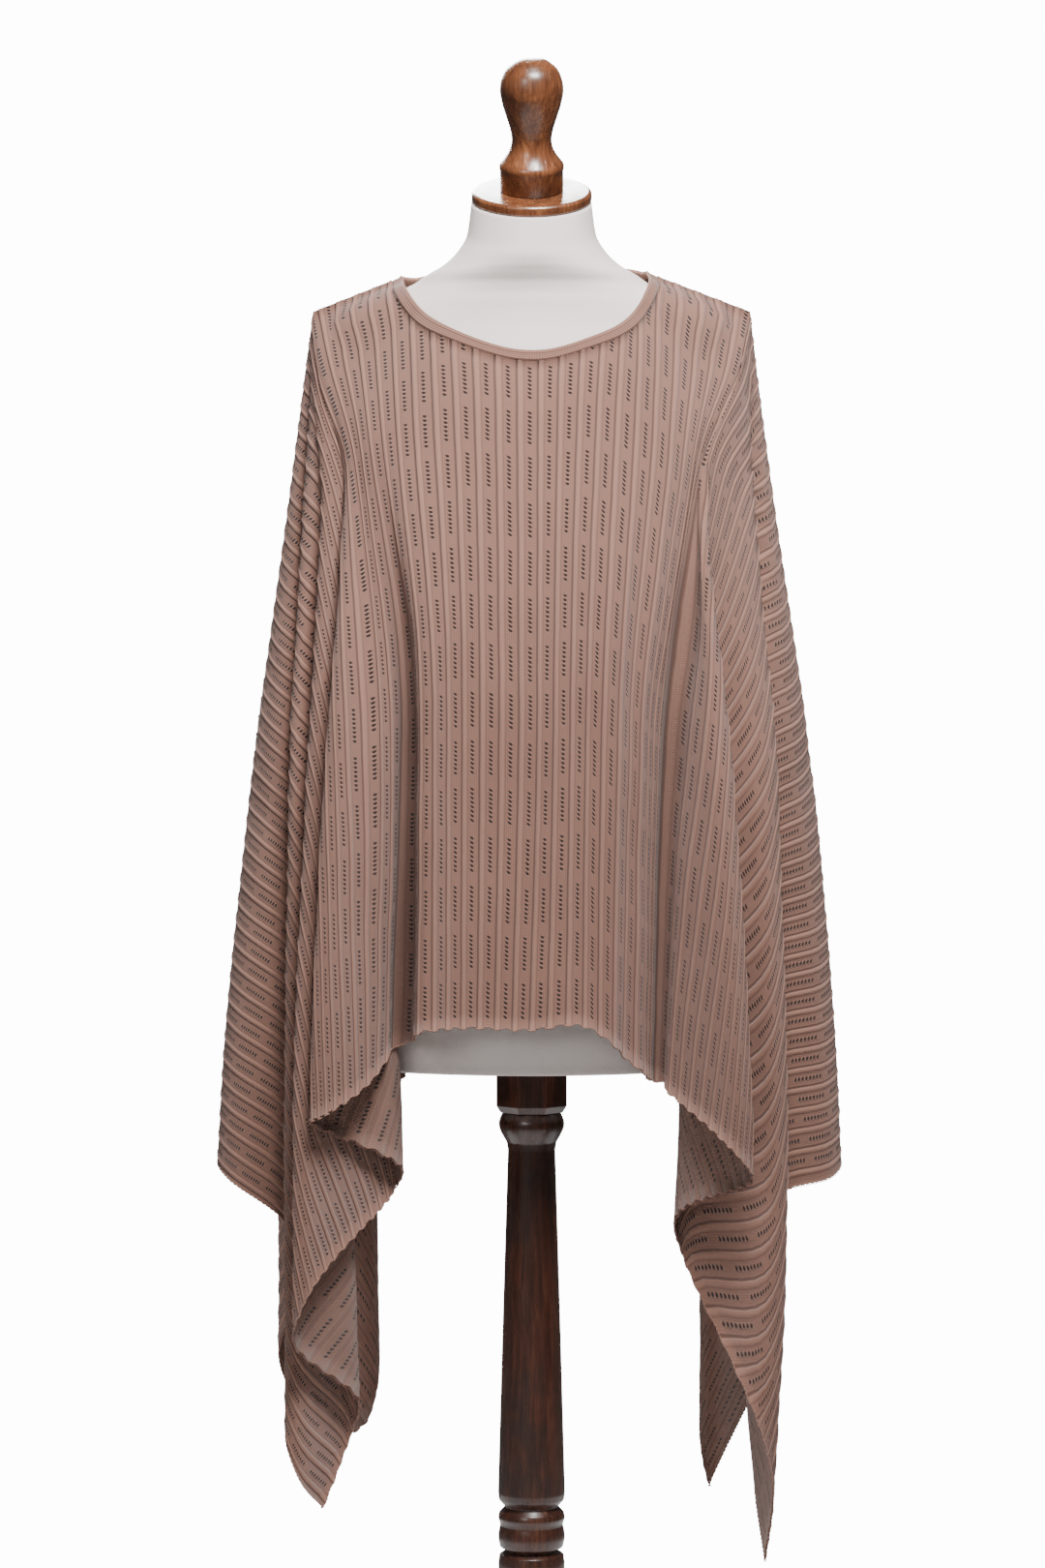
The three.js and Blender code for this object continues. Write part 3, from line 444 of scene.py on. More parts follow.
def creases(table, u, v):
    depth = np.zeros_like(u)
    for at, top, bottom, rise, width, lean in table:
        run = np.clip((v - top) / (bottom - top), 0, 1)
        centre = at + lean * run
        fade = smooth(top, top + FADE_IN * (bottom - top), v)
        if bottom < LENGTH:
            fade = fade * (1 - smooth(bottom - FADE_OUT * (bottom - top), bottom, v))
        depth += rise * fade * np.exp(-(((u - centre) / width) ** 2))
    return depth


# Ripples are closer together across the ribs than down them.
WAVES, WAVE_LENGTHS = 14, (60, 230)
ACROSS, DOWN = 1.6, 0.7


def ripple(u, v, seed):
    """Small unevenness of hand-finished knitting, the same on each run."""
    rng = np.random.default_rng(seed)
    total = np.zeros_like(u)
    for _ in range(WAVES):
        wave = rng.uniform(*WAVE_LENGTHS)
        turn = rng.uniform(0, 2 * math.pi)
        phase = rng.uniform(0, 2 * math.pi)
        k = 2 * math.pi / wave
        total += np.sin(k * (ACROSS * u * math.cos(turn) + DOWN * v * math.sin(turn)) + phase)
    return total / WAVES


# The knit's relief: a narrow rounded rib at every pitch with a groove on one side of it.
RIB_RISE = 0.7
RIB_HALF = 2.2
GROOVE, GROOVE_HALF, GROOVE_DEPTH = -3.0, 0.8, 0.4
RIB_PLACES = [GROOVE, -RIB_HALF, -1.1, 0, 1.1, RIB_HALF, 6.2, 10.2]


def rib_lift(knit_u):
    side = (((knit_u - RIB_SHIFT) / RIB_PITCH + 0.5) % 1 - 0.5) * RIB_PITCH
    rib = np.cos(np.clip(np.abs(side) / RIB_HALF, 0, 1) * math.pi) * 0.5 + 0.5
    hollow = np.exp(-(((side - GROOVE) / GROOVE_HALF) ** 2))
    return RIB_RISE * rib - GROOVE_DEPTH * hollow


def normals(p, outward):
    n = np.cross(np.gradient(p, axis=0), np.gradient(p, axis=1)) * outward
    size = np.linalg.norm(n, axis=-1, keepdims=True)
    return n / np.maximum(size, 1e-9)


# Meshes.
def link(name, mesh):
    obj = bpy.data.objects.new(name, mesh)
    bpy.context.scene.collection.objects.link(obj)
    return obj


def make_mesh(name, verts, faces, mats, uv, mat_index=None):
    """A piece from points in millimetres, four-sided faces and one uv for each corner of a face."""
    mesh = bpy.data.meshes.new(name)
    mesh.from_pydata((np.asarray(verts) * MM).tolist(), [], np.asarray(faces).tolist())
    for mat in mats:
        mesh.materials.append(mat)
    if mat_index is not None:
        mesh.polygons.foreach_set("material_index", np.asarray(mat_index, dtype=np.int32))
    layer = mesh.uv_layers.new(name="cloth")
    layer.data.foreach_set("uv", uv.astype(np.float32).ravel())
    mesh.polygons.foreach_set("use_smooth", np.ones(len(mesh.polygons), bool))
    mesh.update()
    return link(name, mesh)


def grid_faces(cols, rows, flip=False):
    i, j = np.meshgrid(np.arange(cols - 1), np.arange(rows - 1), indexing="ij")
    a = (i * rows + j).ravel()
    quad = np.stack([a, a + rows, a + rows + 1, a + 1], axis=1)
    return quad[:, ::-1] if flip else quad


# Materials. Value wraps one number socket, so that shader maths is plain arithmetic.
class Value:
    def __init__(self, finish, socket):
        self.finish, self.socket = finish, socket

    def _math(self, operation, *others):
        return self.finish.math(operation, self, *others)

    def __add__(self, other):
        return self._math("ADD", other)

    def __sub__(self, other):
        return self._math("SUBTRACT", other)

    def __mul__(self, other):
        return self._math("MULTIPLY", other)

    def __truediv__(self, other):
        return self._math("DIVIDE", other)

    def __rsub__(self, other):
        return self.finish.math("SUBTRACT", other, self)

    __radd__, __rmul__ = __add__, __mul__


class Finish:
    """One procedural material and its node tree."""

    def __init__(self, name, **sockets):
        self.mat = bpy.data.materials.new(name)
        self.mat.use_nodes = True
        self.tree = self.mat.node_tree
        self.bsdf = self.tree.nodes["Principled BSDF"]
        for key, value in sockets.items():
            self.bsdf.inputs[key.replace("_", " ")].default_value = value

    def node(self, kind, settings=None, **sockets):
        node = self.tree.nodes.new(kind)
        for key, value in (settings or {}).items():
            if key == "stops":
                ramp = node.color_ramp
                while len(ramp.elements) < len(value):
                    ramp.elements.new(0.5)
                for stop, (place, colour) in zip(ramp.elements, value):
                    stop.position, stop.color = place, (*colour, 1)
            else:
                setattr(node, key, value)
        for key, value in sockets.items():
            name = key.replace("_", " ")
            by_number = key[0] == "i" and key[1:].isdigit()
            self.feed(node.inputs[int(key[1:]) if by_number else name], value)
        return node

    def feed(self, socket, value):
        if isinstance(value, Value):
            self.tree.links.new(value.socket, socket)
        elif isinstance(value, bpy.types.NodeSocket):
            self.tree.links.new(value, socket)
        else:
            socket.default_value = value

    def math(self, operation, *values):
        places = {f"i{k}": value for k, value in enumerate(values)}
        return Value(self, self.node("ShaderNodeMath", {"operation": operation}, **places).outputs[0])

    def step(self, low, high, value):
        """0 at low, 1 at high, smooth between."""
        node = self.node("ShaderNodeMapRange", {"interpolation_type": "SMOOTHSTEP"},
                         i0=value, i1=low, i2=high)
        return Value(self, node.outputs[0])

    def noise(self, vector, scale, detail=2.0, rough=0.5):
        node = self.node("ShaderNodeTexNoise", {}, Vector=vector, Scale=scale, Detail=detail,
                         Roughness=rough)
        return Value(self, node.outputs["Fac"])

    def vector(self, x, y, z=0.0):
        return self.node("ShaderNodeCombineXYZ", {}, X=x, Y=y, Z=z).outputs[0]

    def parts(self, vector):
        out = self.node("ShaderNodeSeparateXYZ", {}, Vector=vector).outputs
        return Value(self, out[0]), Value(self, out[1]), Value(self, out[2])

    def coords(self):
        return self.node("ShaderNodeTexCoord").outputs["Object"]

    def cloth(self):
        """Flat cloth coordinates in millimetres, from the piece's own uv map."""
        u, v, _ = self.parts(self.node("ShaderNodeUVMap", {"uv_map": "cloth"}).outputs[0])
        return u * SPREAD - SPREAD / 2, self.math("MODULO", v * SPREAD, SPREAD / 2)

    def blend(self, factor, a, b):
        node = self.node("ShaderNodeMix", {"data_type": "RGBA"}, i0=factor, i6=a, i7=b)
        return node.outputs[2]

    def shade(self, colour, factor):
        """Colour times a number."""
        node = self.node("ShaderNodeVectorMath", {"operation": "SCALE"}, i0=colour, Scale=factor)
        return node.outputs[0]

    def bump(self, height, distance, strength=1.0):
        node = self.node("ShaderNodeBump", {}, Height=height, Distance=distance, Strength=strength)
        self.feed(self.bsdf.inputs["Normal"], node.outputs[0])

    def colour(self, colour):
        self.feed(self.bsdf.inputs["Base Color"], colour)

    def rough(self, value):
        self.feed(self.bsdf.inputs["Roughness"], value)


SPREAD = 1900.0
ROSE = (0.285, 0.147, 0.108, 1)
ROSE_DEEP = (0.245, 0.124, 0.091, 1)
SHADOW = (0.018, 0.008, 0.006, 1)
# Eyelets stand in groups one over the other, halfway between two ribs, with slanted bars between
# them and a plain strip along the selvedge. WAVER is how far the ribs and the groups wander.
EYELET_PERIOD, EYELET_GROUP, EYELET_PITCH = 40.8, 30.4, 3.8
EYELET_PLACE, EYELET_WIDE, EYELET_TALL, EYELET_SLANT = 7.5, 1.7, 1.2, 0.42
EYELET_PAINTED_SHADE, PLAIN_STRIP = 0.94, (12, 8)
WALE, COURSE, RIB_COURSE, RIB_LEG = 1.7, 1.5, 1.9, 0.22
RIB_SIDE, GROOVE_SIDE, SHALLOW_SIDE = (1.5, 2.3), (0.3, 1.1), (0.1, 0.7)
WAVER_ACROSS, WAVER_DOWN = 1.2, 9.0
REVERSE_TONE = 0.84


# Painted shade along the deepest folds of the front: place across, how far it reaches and how dark it is.
FRONT_FOLD_PAINTED_SHADE = [(-146, 20, 0.50), (192, 24, 0.50)]
PAINTED_SHADE_TOP, PAINTED_SHADE_FULL = 120, 420


def knit_finish(name, reverse, folds=()):
    f = Finish(name, Roughness=0.92, Sheen_Weight=0.2, Sheen_Roughness=0.6, Specular_IOR_Level=0.12)
    u, v = f.cloth()
    place = f.vector(u, v)
    u = u + (f.noise(place, 0.02, 2) - 0.5) * WAVER_ACROSS
    v = v + (f.noise(f.vector(u * 0.4, v * 0.6), 0.012, 2) - 0.5) * WAVER_DOWN
    across = f.math("FRACT", (u - RIB_SHIFT) / RIB_PITCH + 0.5) * RIB_PITCH - RIB_PITCH / 2
    rib = 1 - f.step(*RIB_SIDE, f.math("ABSOLUTE", across))
    groove = 1 - f.step(*GROOVE_SIDE, f.math("ABSOLUTE", across - GROOVE))
    shallow = 1 - f.step(*SHALLOW_SIDE, f.math("ABSOLUTE", across + GROOVE - 0.3))
    beside = f.math("FRACT", (u - RIB_SHIFT) / RIB_PITCH) * RIB_PITCH - EYELET_PLACE
    away = f.math("ABSOLUTE", beside)
    part = f.math("FRACT", v / EYELET_PERIOD) * EYELET_PERIOD
    in_group = f.math("LESS_THAN", part, EYELET_GROUP)
    strip_start, strip_full = (SELVEDGE_U - reach for reach in PLAIN_STRIP)
    inside = 1 - f.step(strip_start, strip_full, f.math("ABSOLUTE", u))
    slanted = part - beside * EYELET_SLANT
    along = f.math("ABSOLUTE", f.math("FRACT", slanted / EYELET_PITCH) - 0.5) * EYELET_PITCH
    spread = f.math("POWER", away / EYELET_WIDE, 2.0) + f.math("POWER", along / EYELET_TALL, 2.0)
    hole = (1 - f.step(0.6, 1.2, spread)) * in_group * inside
    bar = (1 - f.step(1.2, 2.3, away)) * f.step(0.95, 1.5, along) * in_group * inside
    dimple = (1 - f.step(1.6, 3.4, away)) * in_group * inside
    leg = f.math("ABSOLUTE", f.math("FRACT", u / WALE) - 0.5)
    rows = f.math("SINE", (v / COURSE + leg * (0.0 if reverse else 1.1)) * (2 * math.pi))
    wales = f.math("SINE", u / WALE * (2 * math.pi))
    stitch = f.math("SINE", (v / RIB_COURSE + f.math("ABSOLUTE", across) * RIB_LEG) * (2 * math.pi))
    fibre = f.noise(f.vector(u, v), 1.1, 3, 0.75)
    patch = f.noise(place, 0.012, 3)
    tone = 0.74 + fibre * 0.26 + patch * 0.14 + rows * 0.03 + wales * 0.03
    if reverse:
        # Painted light and shade on the reverse: each rib is made darker, as a shaded groove, its rims
        # lighter, as lit edges, and the bars between eyelets a little darker.
        rim = 1 - f.step(0.2, 0.9, f.math("ABSOLUTE", f.math("ABSOLUTE", across) - 2.8))
        tone = tone - rib * 0.14 + rim * 0.10 - bar * 0.04
        relief = rows * 0.22 + wales * 0.16 - rib * 0.5 - hole * 1.0
    else:
        # Painted light and shade on the face: the ribs, their stitches and the bars between eyelets are
        # made lighter, as lit ridges; the groove beside each rib, the shallow groove and the dimples round
        # the eyelets are made darker, as shade.
        tone = tone + rib * (0.10 + stitch * 0.05) - groove * 0.46 - shallow * 0.20
        tone = tone + bar * 0.20 - dimple * 0.03
        relief = rows * 0.14 + wales * 0.10 + rib * (0.5 + stitch * 0.12) - groove * 0.7
        relief = relief - shallow * 0.2 - hole * 1.6 + bar * 0.7
    # The folds given here get painted shade: the colour is darkened along them from a given depth down.
    down = f.step(PAINTED_SHADE_TOP, PAINTED_SHADE_FULL, v)
    for at, reach, dark in folds:
        tone = tone * (1 - (1 - f.step(3, reach, f.math("ABSOLUTE", u - at))) * down * dark)
    # On the face the lighter rose marks the ribs, as painted light; on the reverse it follows random
    # patches of tone.
    patch_or_lit_rib = patch if reverse else rib
    yarn = f.shade(f.blend(patch_or_lit_rib, ROSE_DEEP, ROSE), tone * (REVERSE_TONE if reverse else 1.0))
    # The eyelets are not cut through: each is painted in the dark colour of the shade behind a hole.
    f.colour(f.blend(hole * EYELET_PAINTED_SHADE, yarn, SHADOW))
    f.rough(0.86 + fibre * 0.12)
    f.bump(relief + fibre * 0.3, 0.0009, 0.85)
    return f.mat


def band_finish():
    f = Finish("neckband knit", Roughness=0.9, Sheen_Weight=0.25, Specular_IOR_Level=0.15)
    along, across = f.cloth()
    rows = f.math("SINE", across / 1.9 * (2 * math.pi))
    stitch = f.math("SINE", along / 2.3 * (2 * math.pi))
    fibre = f.noise(f.vector(along, across), 1.2, 3, 0.7)
    edge = f.step(6.8, 8.2, across)
    tone = 0.86 + fibre * 0.18 + rows * 0.05 + stitch * 0.04 + edge * 0.10
    f.colour(f.shade(f.blend(edge, ROSE_DEEP, ROSE), tone))
    f.rough(0.86 + fibre * 0.1)
    f.bump(rows * 0.4 + stitch * 0.5 + fibre * 0.3, 0.0006, 0.8)
    return f.mat


def yarn_finish():
    f = Finish("edge yarn", Roughness=0.9, Sheen_Weight=0.3, Specular_IOR_Level=0.15)
    place = f.coords()
    fibre = f.noise(place, 900, 3, 0.7)
    tone = 0.82 + fibre * 0.34
    f.colour(f.shade(f.blend(fibre, ROSE_DEEP, ROSE), tone))
    f.rough(0.84 + fibre * 0.12)
    f.bump(fibre, 0.0003, 0.6)
    return f.mat


def linen_finish():
    f = Finish("stretched linen", Roughness=0.86, Sheen_Weight=0.1, Specular_IOR_Level=0.2)
    place = f.coords()
    x, y, z = f.parts(place)
    angle = f.math("ARCTAN2", y, x)
    warp = f.noise(f.vector(angle * 260.0, z * 90.0), 1.0, 3, 0.6)
    weft = f.noise(f.vector(angle * 16.0, z * 1500.0), 1.0, 3, 0.6)
    stain = f.noise(place, 9.0, 4, 0.55)
    weave = warp * 0.5 + weft * 0.5
    front_seam = 1 - f.step(0.0012, 0.0026, f.math("ABSOLUTE", x))
    side_seam = 1 - f.step(0.0012, 0.0026, f.math("ABSOLUTE", y))
    back = f.math("GREATER_THAN", y, 0.0)
    seam = f.math("MAXIMUM", front_seam * back, side_seam)
    low = 1 - f.step(0.712, 0.724, z)
    tone = 0.88 + weave * 0.16 + stain * 0.08 - seam * 0.2 - low * 0.12
    f.colour(f.shade(f.blend(stain, (0.70, 0.61, 0.57, 1), (0.83, 0.76, 0.73, 1)), tone))
    f.rough(0.80 + weave * 0.15)
    f.bump(weave + stain * 1.2 - seam * 2.0, 0.0006, 0.7)
    return f.mat


def wood_finish(name, deep, mid, warm, dark_patch, gloss):
    f = Finish(name, Roughness=gloss, Coat_Weight=0.35, Coat_Roughness=0.18, Specular_IOR_Level=0.5)
    place = f.coords()
    x, y, z = f.parts(place)
    sway = f.noise(f.vector(x * 3.0, y * 3.0, z * 1.5), 6.0, 2)
    fine = f.noise(f.vector(x * 26.0, y * 26.0, z * 1.6 + sway * 0.1), 14.0, 5, 0.65)
    bands = f.noise(f.vector(x * 9.0 + sway * 0.2, y * 9.0, z * 0.7), 9.0, 3, 0.6)
    patch = f.noise(place, dark_patch, 3, 0.6)
    ramp = f.node("ShaderNodeValToRGB", {"stops": [(0.30, deep), (0.52, mid), (0.72, warm)]},
                  Fac=fine * 0.55 + bands * 0.45)
    pores = f.step(0.60, 0.72, fine)
    stain = f.step(0.46, 0.66, patch)
    f.colour(f.shade(ramp.outputs[0], 1.12 - stain * 0.52 - pores * 0.22))
    f.rough(gloss + fine * 0.14 + stain * 0.10 - 0.05)
    f.bump(fine * 0.6 - pores * 0.7 + bands * 0.5, 0.0005, 0.5)
    return f.mat


KNIT = knit_finish("rose knit face", False)
# The front panel's knit, with painted shade in its deepest folds.
KNIT_FRONT_PAINTED_SHADE = knit_finish("rose knit front face with painted fold shade", False, FRONT_FOLD_PAINTED_SHADE)
KNIT_REVERSE = knit_finish("rose knit reverse", True)
BAND = band_finish()
YARN = yarn_finish()
LINEN = linen_finish()
DARK_WOOD = wood_finish("dark turned wood", (0.010, 0.0036, 0.0024), (0.040, 0.013, 0.007),
                        (0.105, 0.034, 0.016), 14.0, 0.34)
LIGHT_WOOD = wood_finish("brown turned wood", (0.045, 0.014, 0.006), (0.150, 0.052, 0.021),
                         (0.330, 0.130, 0.052), 22.0, 0.26)


# The poncho's two panels. The knitting pulls the hem in between ribs. Ripples start below the
# shoulder, and folds that press on each other carry less of them.
ROWS = 56
HEM_RUN, HEM_PULL = 14, 2.6
CREASE_SHARE, RIPPLE_RISE, RIPPLE_FROM = 0.9, 2.4, (60, 260)
PRESSED, PRESSED_ACROSS, PRESSED_DOWN = 0.45, (20, 90), (120, 300)


def panel_columns():
    """Places across the front panel, closest together on the ribs."""
    ribs = int(SELVEDGE_U // RIB_PITCH) + 1
    centres = RIB_SHIFT + RIB_PITCH * np.arange(-ribs - 1, ribs + 1)
    wanted = (centres[:, None] + np.array(RIB_PLACES)).ravel()
    fixed = np.array([NECK_HALF - 3, NECK_HALF - 0.7, NECK_HALF - 0.1, SELVEDGE_U - 3, SELVEDGE_U])
    fixed = np.concatenate([-fixed, fixed])
    clear = np.abs(wanted[:, None] - fixed).min(axis=1) > 0.5
    inside = np.abs(wanted) < SELVEDGE_U
    return np.sort(np.concatenate([wanted[clear & inside], fixed]))


def panel(front):
    signed = panel_columns() if front else -panel_columns()[::-1]
    depth = NECK_FRONT if front else NECK_BACK
    top = np.where(np.abs(signed) < NECK_HALF, neck_depth(signed, depth), SEAM_GAP / 2)
    share = np.linspace(0, 1, ROWS)
    u = np.repeat(signed[:, None], ROWS, axis=1)
    knit_u = u if front else -u
    v = top[:, None] + (LENGTH - top)[:, None] * share[None]
    on_rib = 0.5 + 0.5 * np.cos(2 * math.pi * (knit_u - RIB_SHIFT) / RIB_PITCH)
    hem = smooth(LENGTH - HEM_RUN, LENGTH, v) * on_rib * HEM_PULL
    away = np.abs(u)
    left = SIDES[-1].cloth(away, v, front)
    right = SIDES[1].cloth(away, v, front)
    p = np.where((u < 0)[..., None], left, right)
    p[..., 2] -= hem
    p = clear_of_form(p, OFF_FORM)
    outward = -1 if front else 1
    n = normals(p, outward)
    soft = creases(FRONT_CREASES if front else BACK_CREASES, u, v) * CREASE_SHARE
    soft += ripple(u, v, 7 if front else 11) * RIPPLE_RISE * smooth(*RIPPLE_FROM, v)
    pressed = smooth(*PRESSED_ACROSS, away - SHOULDER_U) * smooth(*PRESSED_DOWN, v)
    p = p + n * (soft * (1 - PRESSED * pressed))[..., None]
    p = clear_of_form(p, OFF_FORM)
    n = normals(p, outward)
    outer = p + n * (CLOTH_HALF + rib_lift(knit_u))[..., None]
    inner = p - n * CLOTH_HALF
    cols = len(signed)
    flat = np.stack([(knit_u + SPREAD / 2) / SPREAD, v / SPREAD], axis=-1).reshape(-1, 2)
    verts = np.concatenate([outer.reshape(-1, 3), inner.reshape(-1, 3)])
    uv = np.concatenate([flat, flat + [0, 0.5]])
    count = cols * ROWS
    face = grid_faces(cols, ROWS, flip=front)
    back = grid_faces(cols, ROWS, flip=not front) + count
    ring = np.concatenate([
        np.arange(cols) * ROWS,
        (cols - 1) * ROWS + np.arange(1, ROWS),
        np.arange(cols - 2, -1, -1) * ROWS + ROWS - 1,
        np.arange(ROWS - 2, 0, -1),
    ])
    after = np.roll(ring, -1)
    rim = np.stack([ring, after, after + count, ring + count], axis=1)
    if not front:
        rim = rim[:, ::-1]
    faces = np.concatenate([face, back, rim[:, ::-1]])
    index = np.concatenate([np.zeros(len(face)), np.ones(len(back)), np.zeros(len(rim))])
    corner_uv = uv[faces.ravel()]
    rim_start = 4 * (len(face) + len(back))
    corner_uv[rim_start:] = flat[faces.ravel()[rim_start:] % count]
    name = "poncho_front" if front else "poncho_back"
    obj = make_mesh(name, verts, faces, [KNIT_FRONT_PAINTED_SHADE if front else KNIT, KNIT_REVERSE], corner_uv, index)
    edge = {
        "hem": p[:, -1],
        "left_selvedge": p[0],
        "right_selvedge": p[-1],
    }
    return obj, edge


front_obj, front_edge = panel(True)
back_obj, back_edge = panel(False)


# The neckband.
def band_path():
    """Flat places once round the neck opening, as (hand, front, u, share of the depth)."""
    turn = np.linspace(0, math.pi / 2, 61)
    quarter = [(NECK_HALF * math.sin(a) ** (2 / NECK_POWER), math.cos(a)) for a in turn]
    steps = []
    steps += [(1, True, u, c) for u, c in quarter]
    steps += [(1, False, u, c) for u, c in quarter[-2:0:-1]]
    steps += [(-1, False, u, c) for u, c in quarter[:-1]]
    steps += [(-1, True, u, c) for u, c in quarter[:0:-1]]
    return steps


BAND_SECTION = [
    (0.3, -0.8), (0.3, 0.9), (2.3, 1.1), (5.0, 1.1), (6.6, 1.3), (7.6, 1.9), (8.6, 2.3),
    (9.6, 2.0), (10.1, 1.1), (9.8, -0.1), (9.0, -0.8), (5.4, -0.9), (2.7, -0.9),
]


# The band faces the way the cloth below it does, and at the shoulder seam leans out a little.
BAND_STEP, BAND_LOW, BAND_TOP, SEAM_LEAN = 2.0, 8, 0.985, 0.35


def neckband():
    rings = []
    for hand, front, u, c in band_path():
        depth = NECK_FRONT if front else NECK_BACK
        share = min(u / NECK_HALF, 1)
        root = math.sqrt(max(1 - share**NECK_POWER, 1e-6))
        slope = depth * NECK_POWER * share ** (NECK_POWER - 1) / (2 * root * NECK_HALF)
        size = math.hypot(slope, 1)
        v = depth * c + SEAM_GAP / 2
        side = SIDES[hand]
        inset = np.array([step[0] for step in BAND_SECTION])
        at_u, at_v = u - slope * inset / size, np.maximum(v - inset / size, 0)

        def lay(a, b):
            a = np.asarray(a, float)
            s = a / SHOULDER_U if front else side.end - a / SHOULDER_U
            return clear_of_form(side.place(s, np.maximum(np.asarray(b, float), 0)), OFF_FORM)

        middle = lay(at_u, at_v)
        deep = np.maximum(at_v, BAND_LOW)
        down = lay(at_u, deep + BAND_STEP) - lay(at_u, deep - BAND_STEP)
        along = lay(at_u + BAND_STEP, deep) - lay(at_u - BAND_STEP, deep)
        n = np.cross(down, along) * hand * (1 if front else -1)
        if share > BAND_TOP:
            n = np.array([[SEAM_LEAN * hand, 0, 1.0]]) * np.ones((len(inset), 1))
        n /= np.linalg.norm(n, axis=-1, keepdims=True)
        offset = np.array([step[1] for step in BAND_SECTION])
        rings.append(middle + n * offset[:, None])
    rings = np.array(rings)
    for _ in range(3):
        rings = (np.roll(rings, 1, axis=0) + 2 * rings + np.roll(rings, -1, axis=0)) / 4
    count, width = rings.shape[:2]
    i, j = np.meshgrid(np.arange(count), np.arange(width), indexing="ij")
    a = i * width + j
    b = (i + 1) % count * width + j
    c = (i + 1) % count * width + (j + 1) % width
    d = i * width + (j + 1) % width
    faces = np.stack([a, d, c, b], axis=-1).reshape(-1, 4)
    run = np.linalg.norm(np.diff(rings[:, 0], axis=0, append=rings[:1, 0]), axis=-1)
    along = np.concatenate([[0], np.cumsum(run)])
    across = np.concatenate([[step[0] for step in BAND_SECTION], [0.3]])
    uv = np.stack([
        np.stack([along[i] + 0 * j, across[j]], axis=-1),
        np.stack([along[i] + 0 * j, across[j + 1]], axis=-1),
        np.stack([along[i + 1] + 0 * j, across[j + 1]], axis=-1),
        np.stack([along[i + 1] + 0 * j, across[j]], axis=-1),
    ], axis=2).reshape(-1, 2)
    return make_mesh("neck_band", rings.reshape(-1, 3), faces, [BAND], uv / SPREAD + [0.5, 0])


band_obj = neckband()


# Yarn loops along the cut edges, laid by Geometry Nodes on a path.
def path_object(name, points):
    mesh = bpy.data.meshes.new(name)
    edges = [(i, i + 1) for i in range(len(points) - 1)]
    mesh.from_pydata((np.asarray(points) * MM).tolist(), edges, [])
    return link(name, mesh)


def loop_tree():
    tree = bpy.data.node_groups.new("edge loops", "GeometryNodeTree")
    face = tree.interface
    face.new_socket("Geometry", in_out="INPUT", socket_type="NodeSocketGeometry")
    for label, value in (("Pitch", 0.00425), ("Loop length", 0.0034), ("Yarn radius", 0.0006)):
        socket = face.new_socket(label, in_out="INPUT", socket_type="NodeSocketFloat")
        socket.default_value = value
    face.new_socket("Geometry", in_out="OUTPUT", socket_type="NodeSocketGeometry")
    nodes, links = tree.nodes, tree.links

    def add(kind, settings=None, **inputs):
        node = nodes.new(kind)
        for key, value in (settings or {}).items():
            setattr(node, key, value)
        for key, value in inputs.items():
            socket = node.inputs[key.replace("_", " ")]
            if isinstance(value, bpy.types.NodeSocket):
                links.new(value, socket)
            else:
                socket.default_value = value
        return node

    start = nodes.new("NodeGroupInput")
    end = nodes.new("NodeGroupOutput")
    curve = add("GeometryNodeMeshToCurve", Mesh=start.outputs["Geometry"])
    even = add("GeometryNodeResampleCurve", {"mode": "LENGTH"}, Curve=curve.outputs[0])
    links.new(start.outputs["Pitch"], even.inputs["Length"])
    tangent = add("GeometryNodeInputTangent")
    turn = add("FunctionNodeAlignRotationToVector", {"axis": "X"}, Vector=tangent.outputs[0])
    ring = add("GeometryNodeCurvePrimitiveCircle", {"mode": "RADIUS"}, Resolution=8)
    half = add("ShaderNodeMath", {"operation": "MULTIPLY"})
    links.new(start.outputs["Loop length"], half.inputs[0])
    half.inputs[1].default_value = 0.5
    links.new(half.outputs[0], ring.inputs["Radius"])
    section = add("GeometryNodeCurvePrimitiveCircle", {"mode": "RADIUS"}, Resolution=4)
    links.new(start.outputs["Yarn radius"], section.inputs["Radius"])
    tube = add("GeometryNodeCurveToMesh", Curve=ring.outputs[0], Profile_Curve=section.outputs[0])
    flat = add("GeometryNodeTransform", Geometry=tube.outputs[0], Scale=(1.0, 0.62, 1.0))
    lay = add("GeometryNodeInstanceOnPoints", Points=even.outputs[0], Instance=flat.outputs[0],
              Rotation=turn.outputs[0])
    real = add("GeometryNodeRealizeInstances", Geometry=lay.outputs[0])
    coat = add("GeometryNodeSetMaterial", Geometry=real.outputs[0], Material=YARN)
    links.new(coat.outputs[0], end.inputs[0])
    return tree


LOOPS = loop_tree()


def yarn_loops(name, points, pitch, length, radius):
    """Loops of yarn along a path, as one plain mesh."""
    source = path_object(name + "_path", points)
    modifier = source.modifiers.new("loops", "NODES")
    modifier.node_group = LOOPS
    sizes = {"Pitch": pitch, "Loop length": length, "Yarn radius": radius}
    for item in LOOPS.interface.items_tree:
        if item.in_out == "INPUT" and item.name in sizes:
            modifier[item.identifier] = sizes[item.name] * MM
    evaluated = source.evaluated_get(bpy.context.evaluated_depsgraph_get())
    mesh = bpy.data.meshes.new_from_object(evaluated)
    mesh.name = name
    obj = link(name, mesh)
    source.modifiers.clear()
    bpy.data.objects.remove(source)
    return obj


trims = []
for label, edge in (("front", front_edge), ("back", back_edge)):
    trims.append(yarn_loops(f"{label}_hem_loops", edge["hem"], 4.25, 4.2, 0.62))
    for name in ("left_selvedge", "right_selvedge"):
        trims.append(yarn_loops(f"{label}_{name}_loops", edge[name], 4.4, 3.6, 0.6))


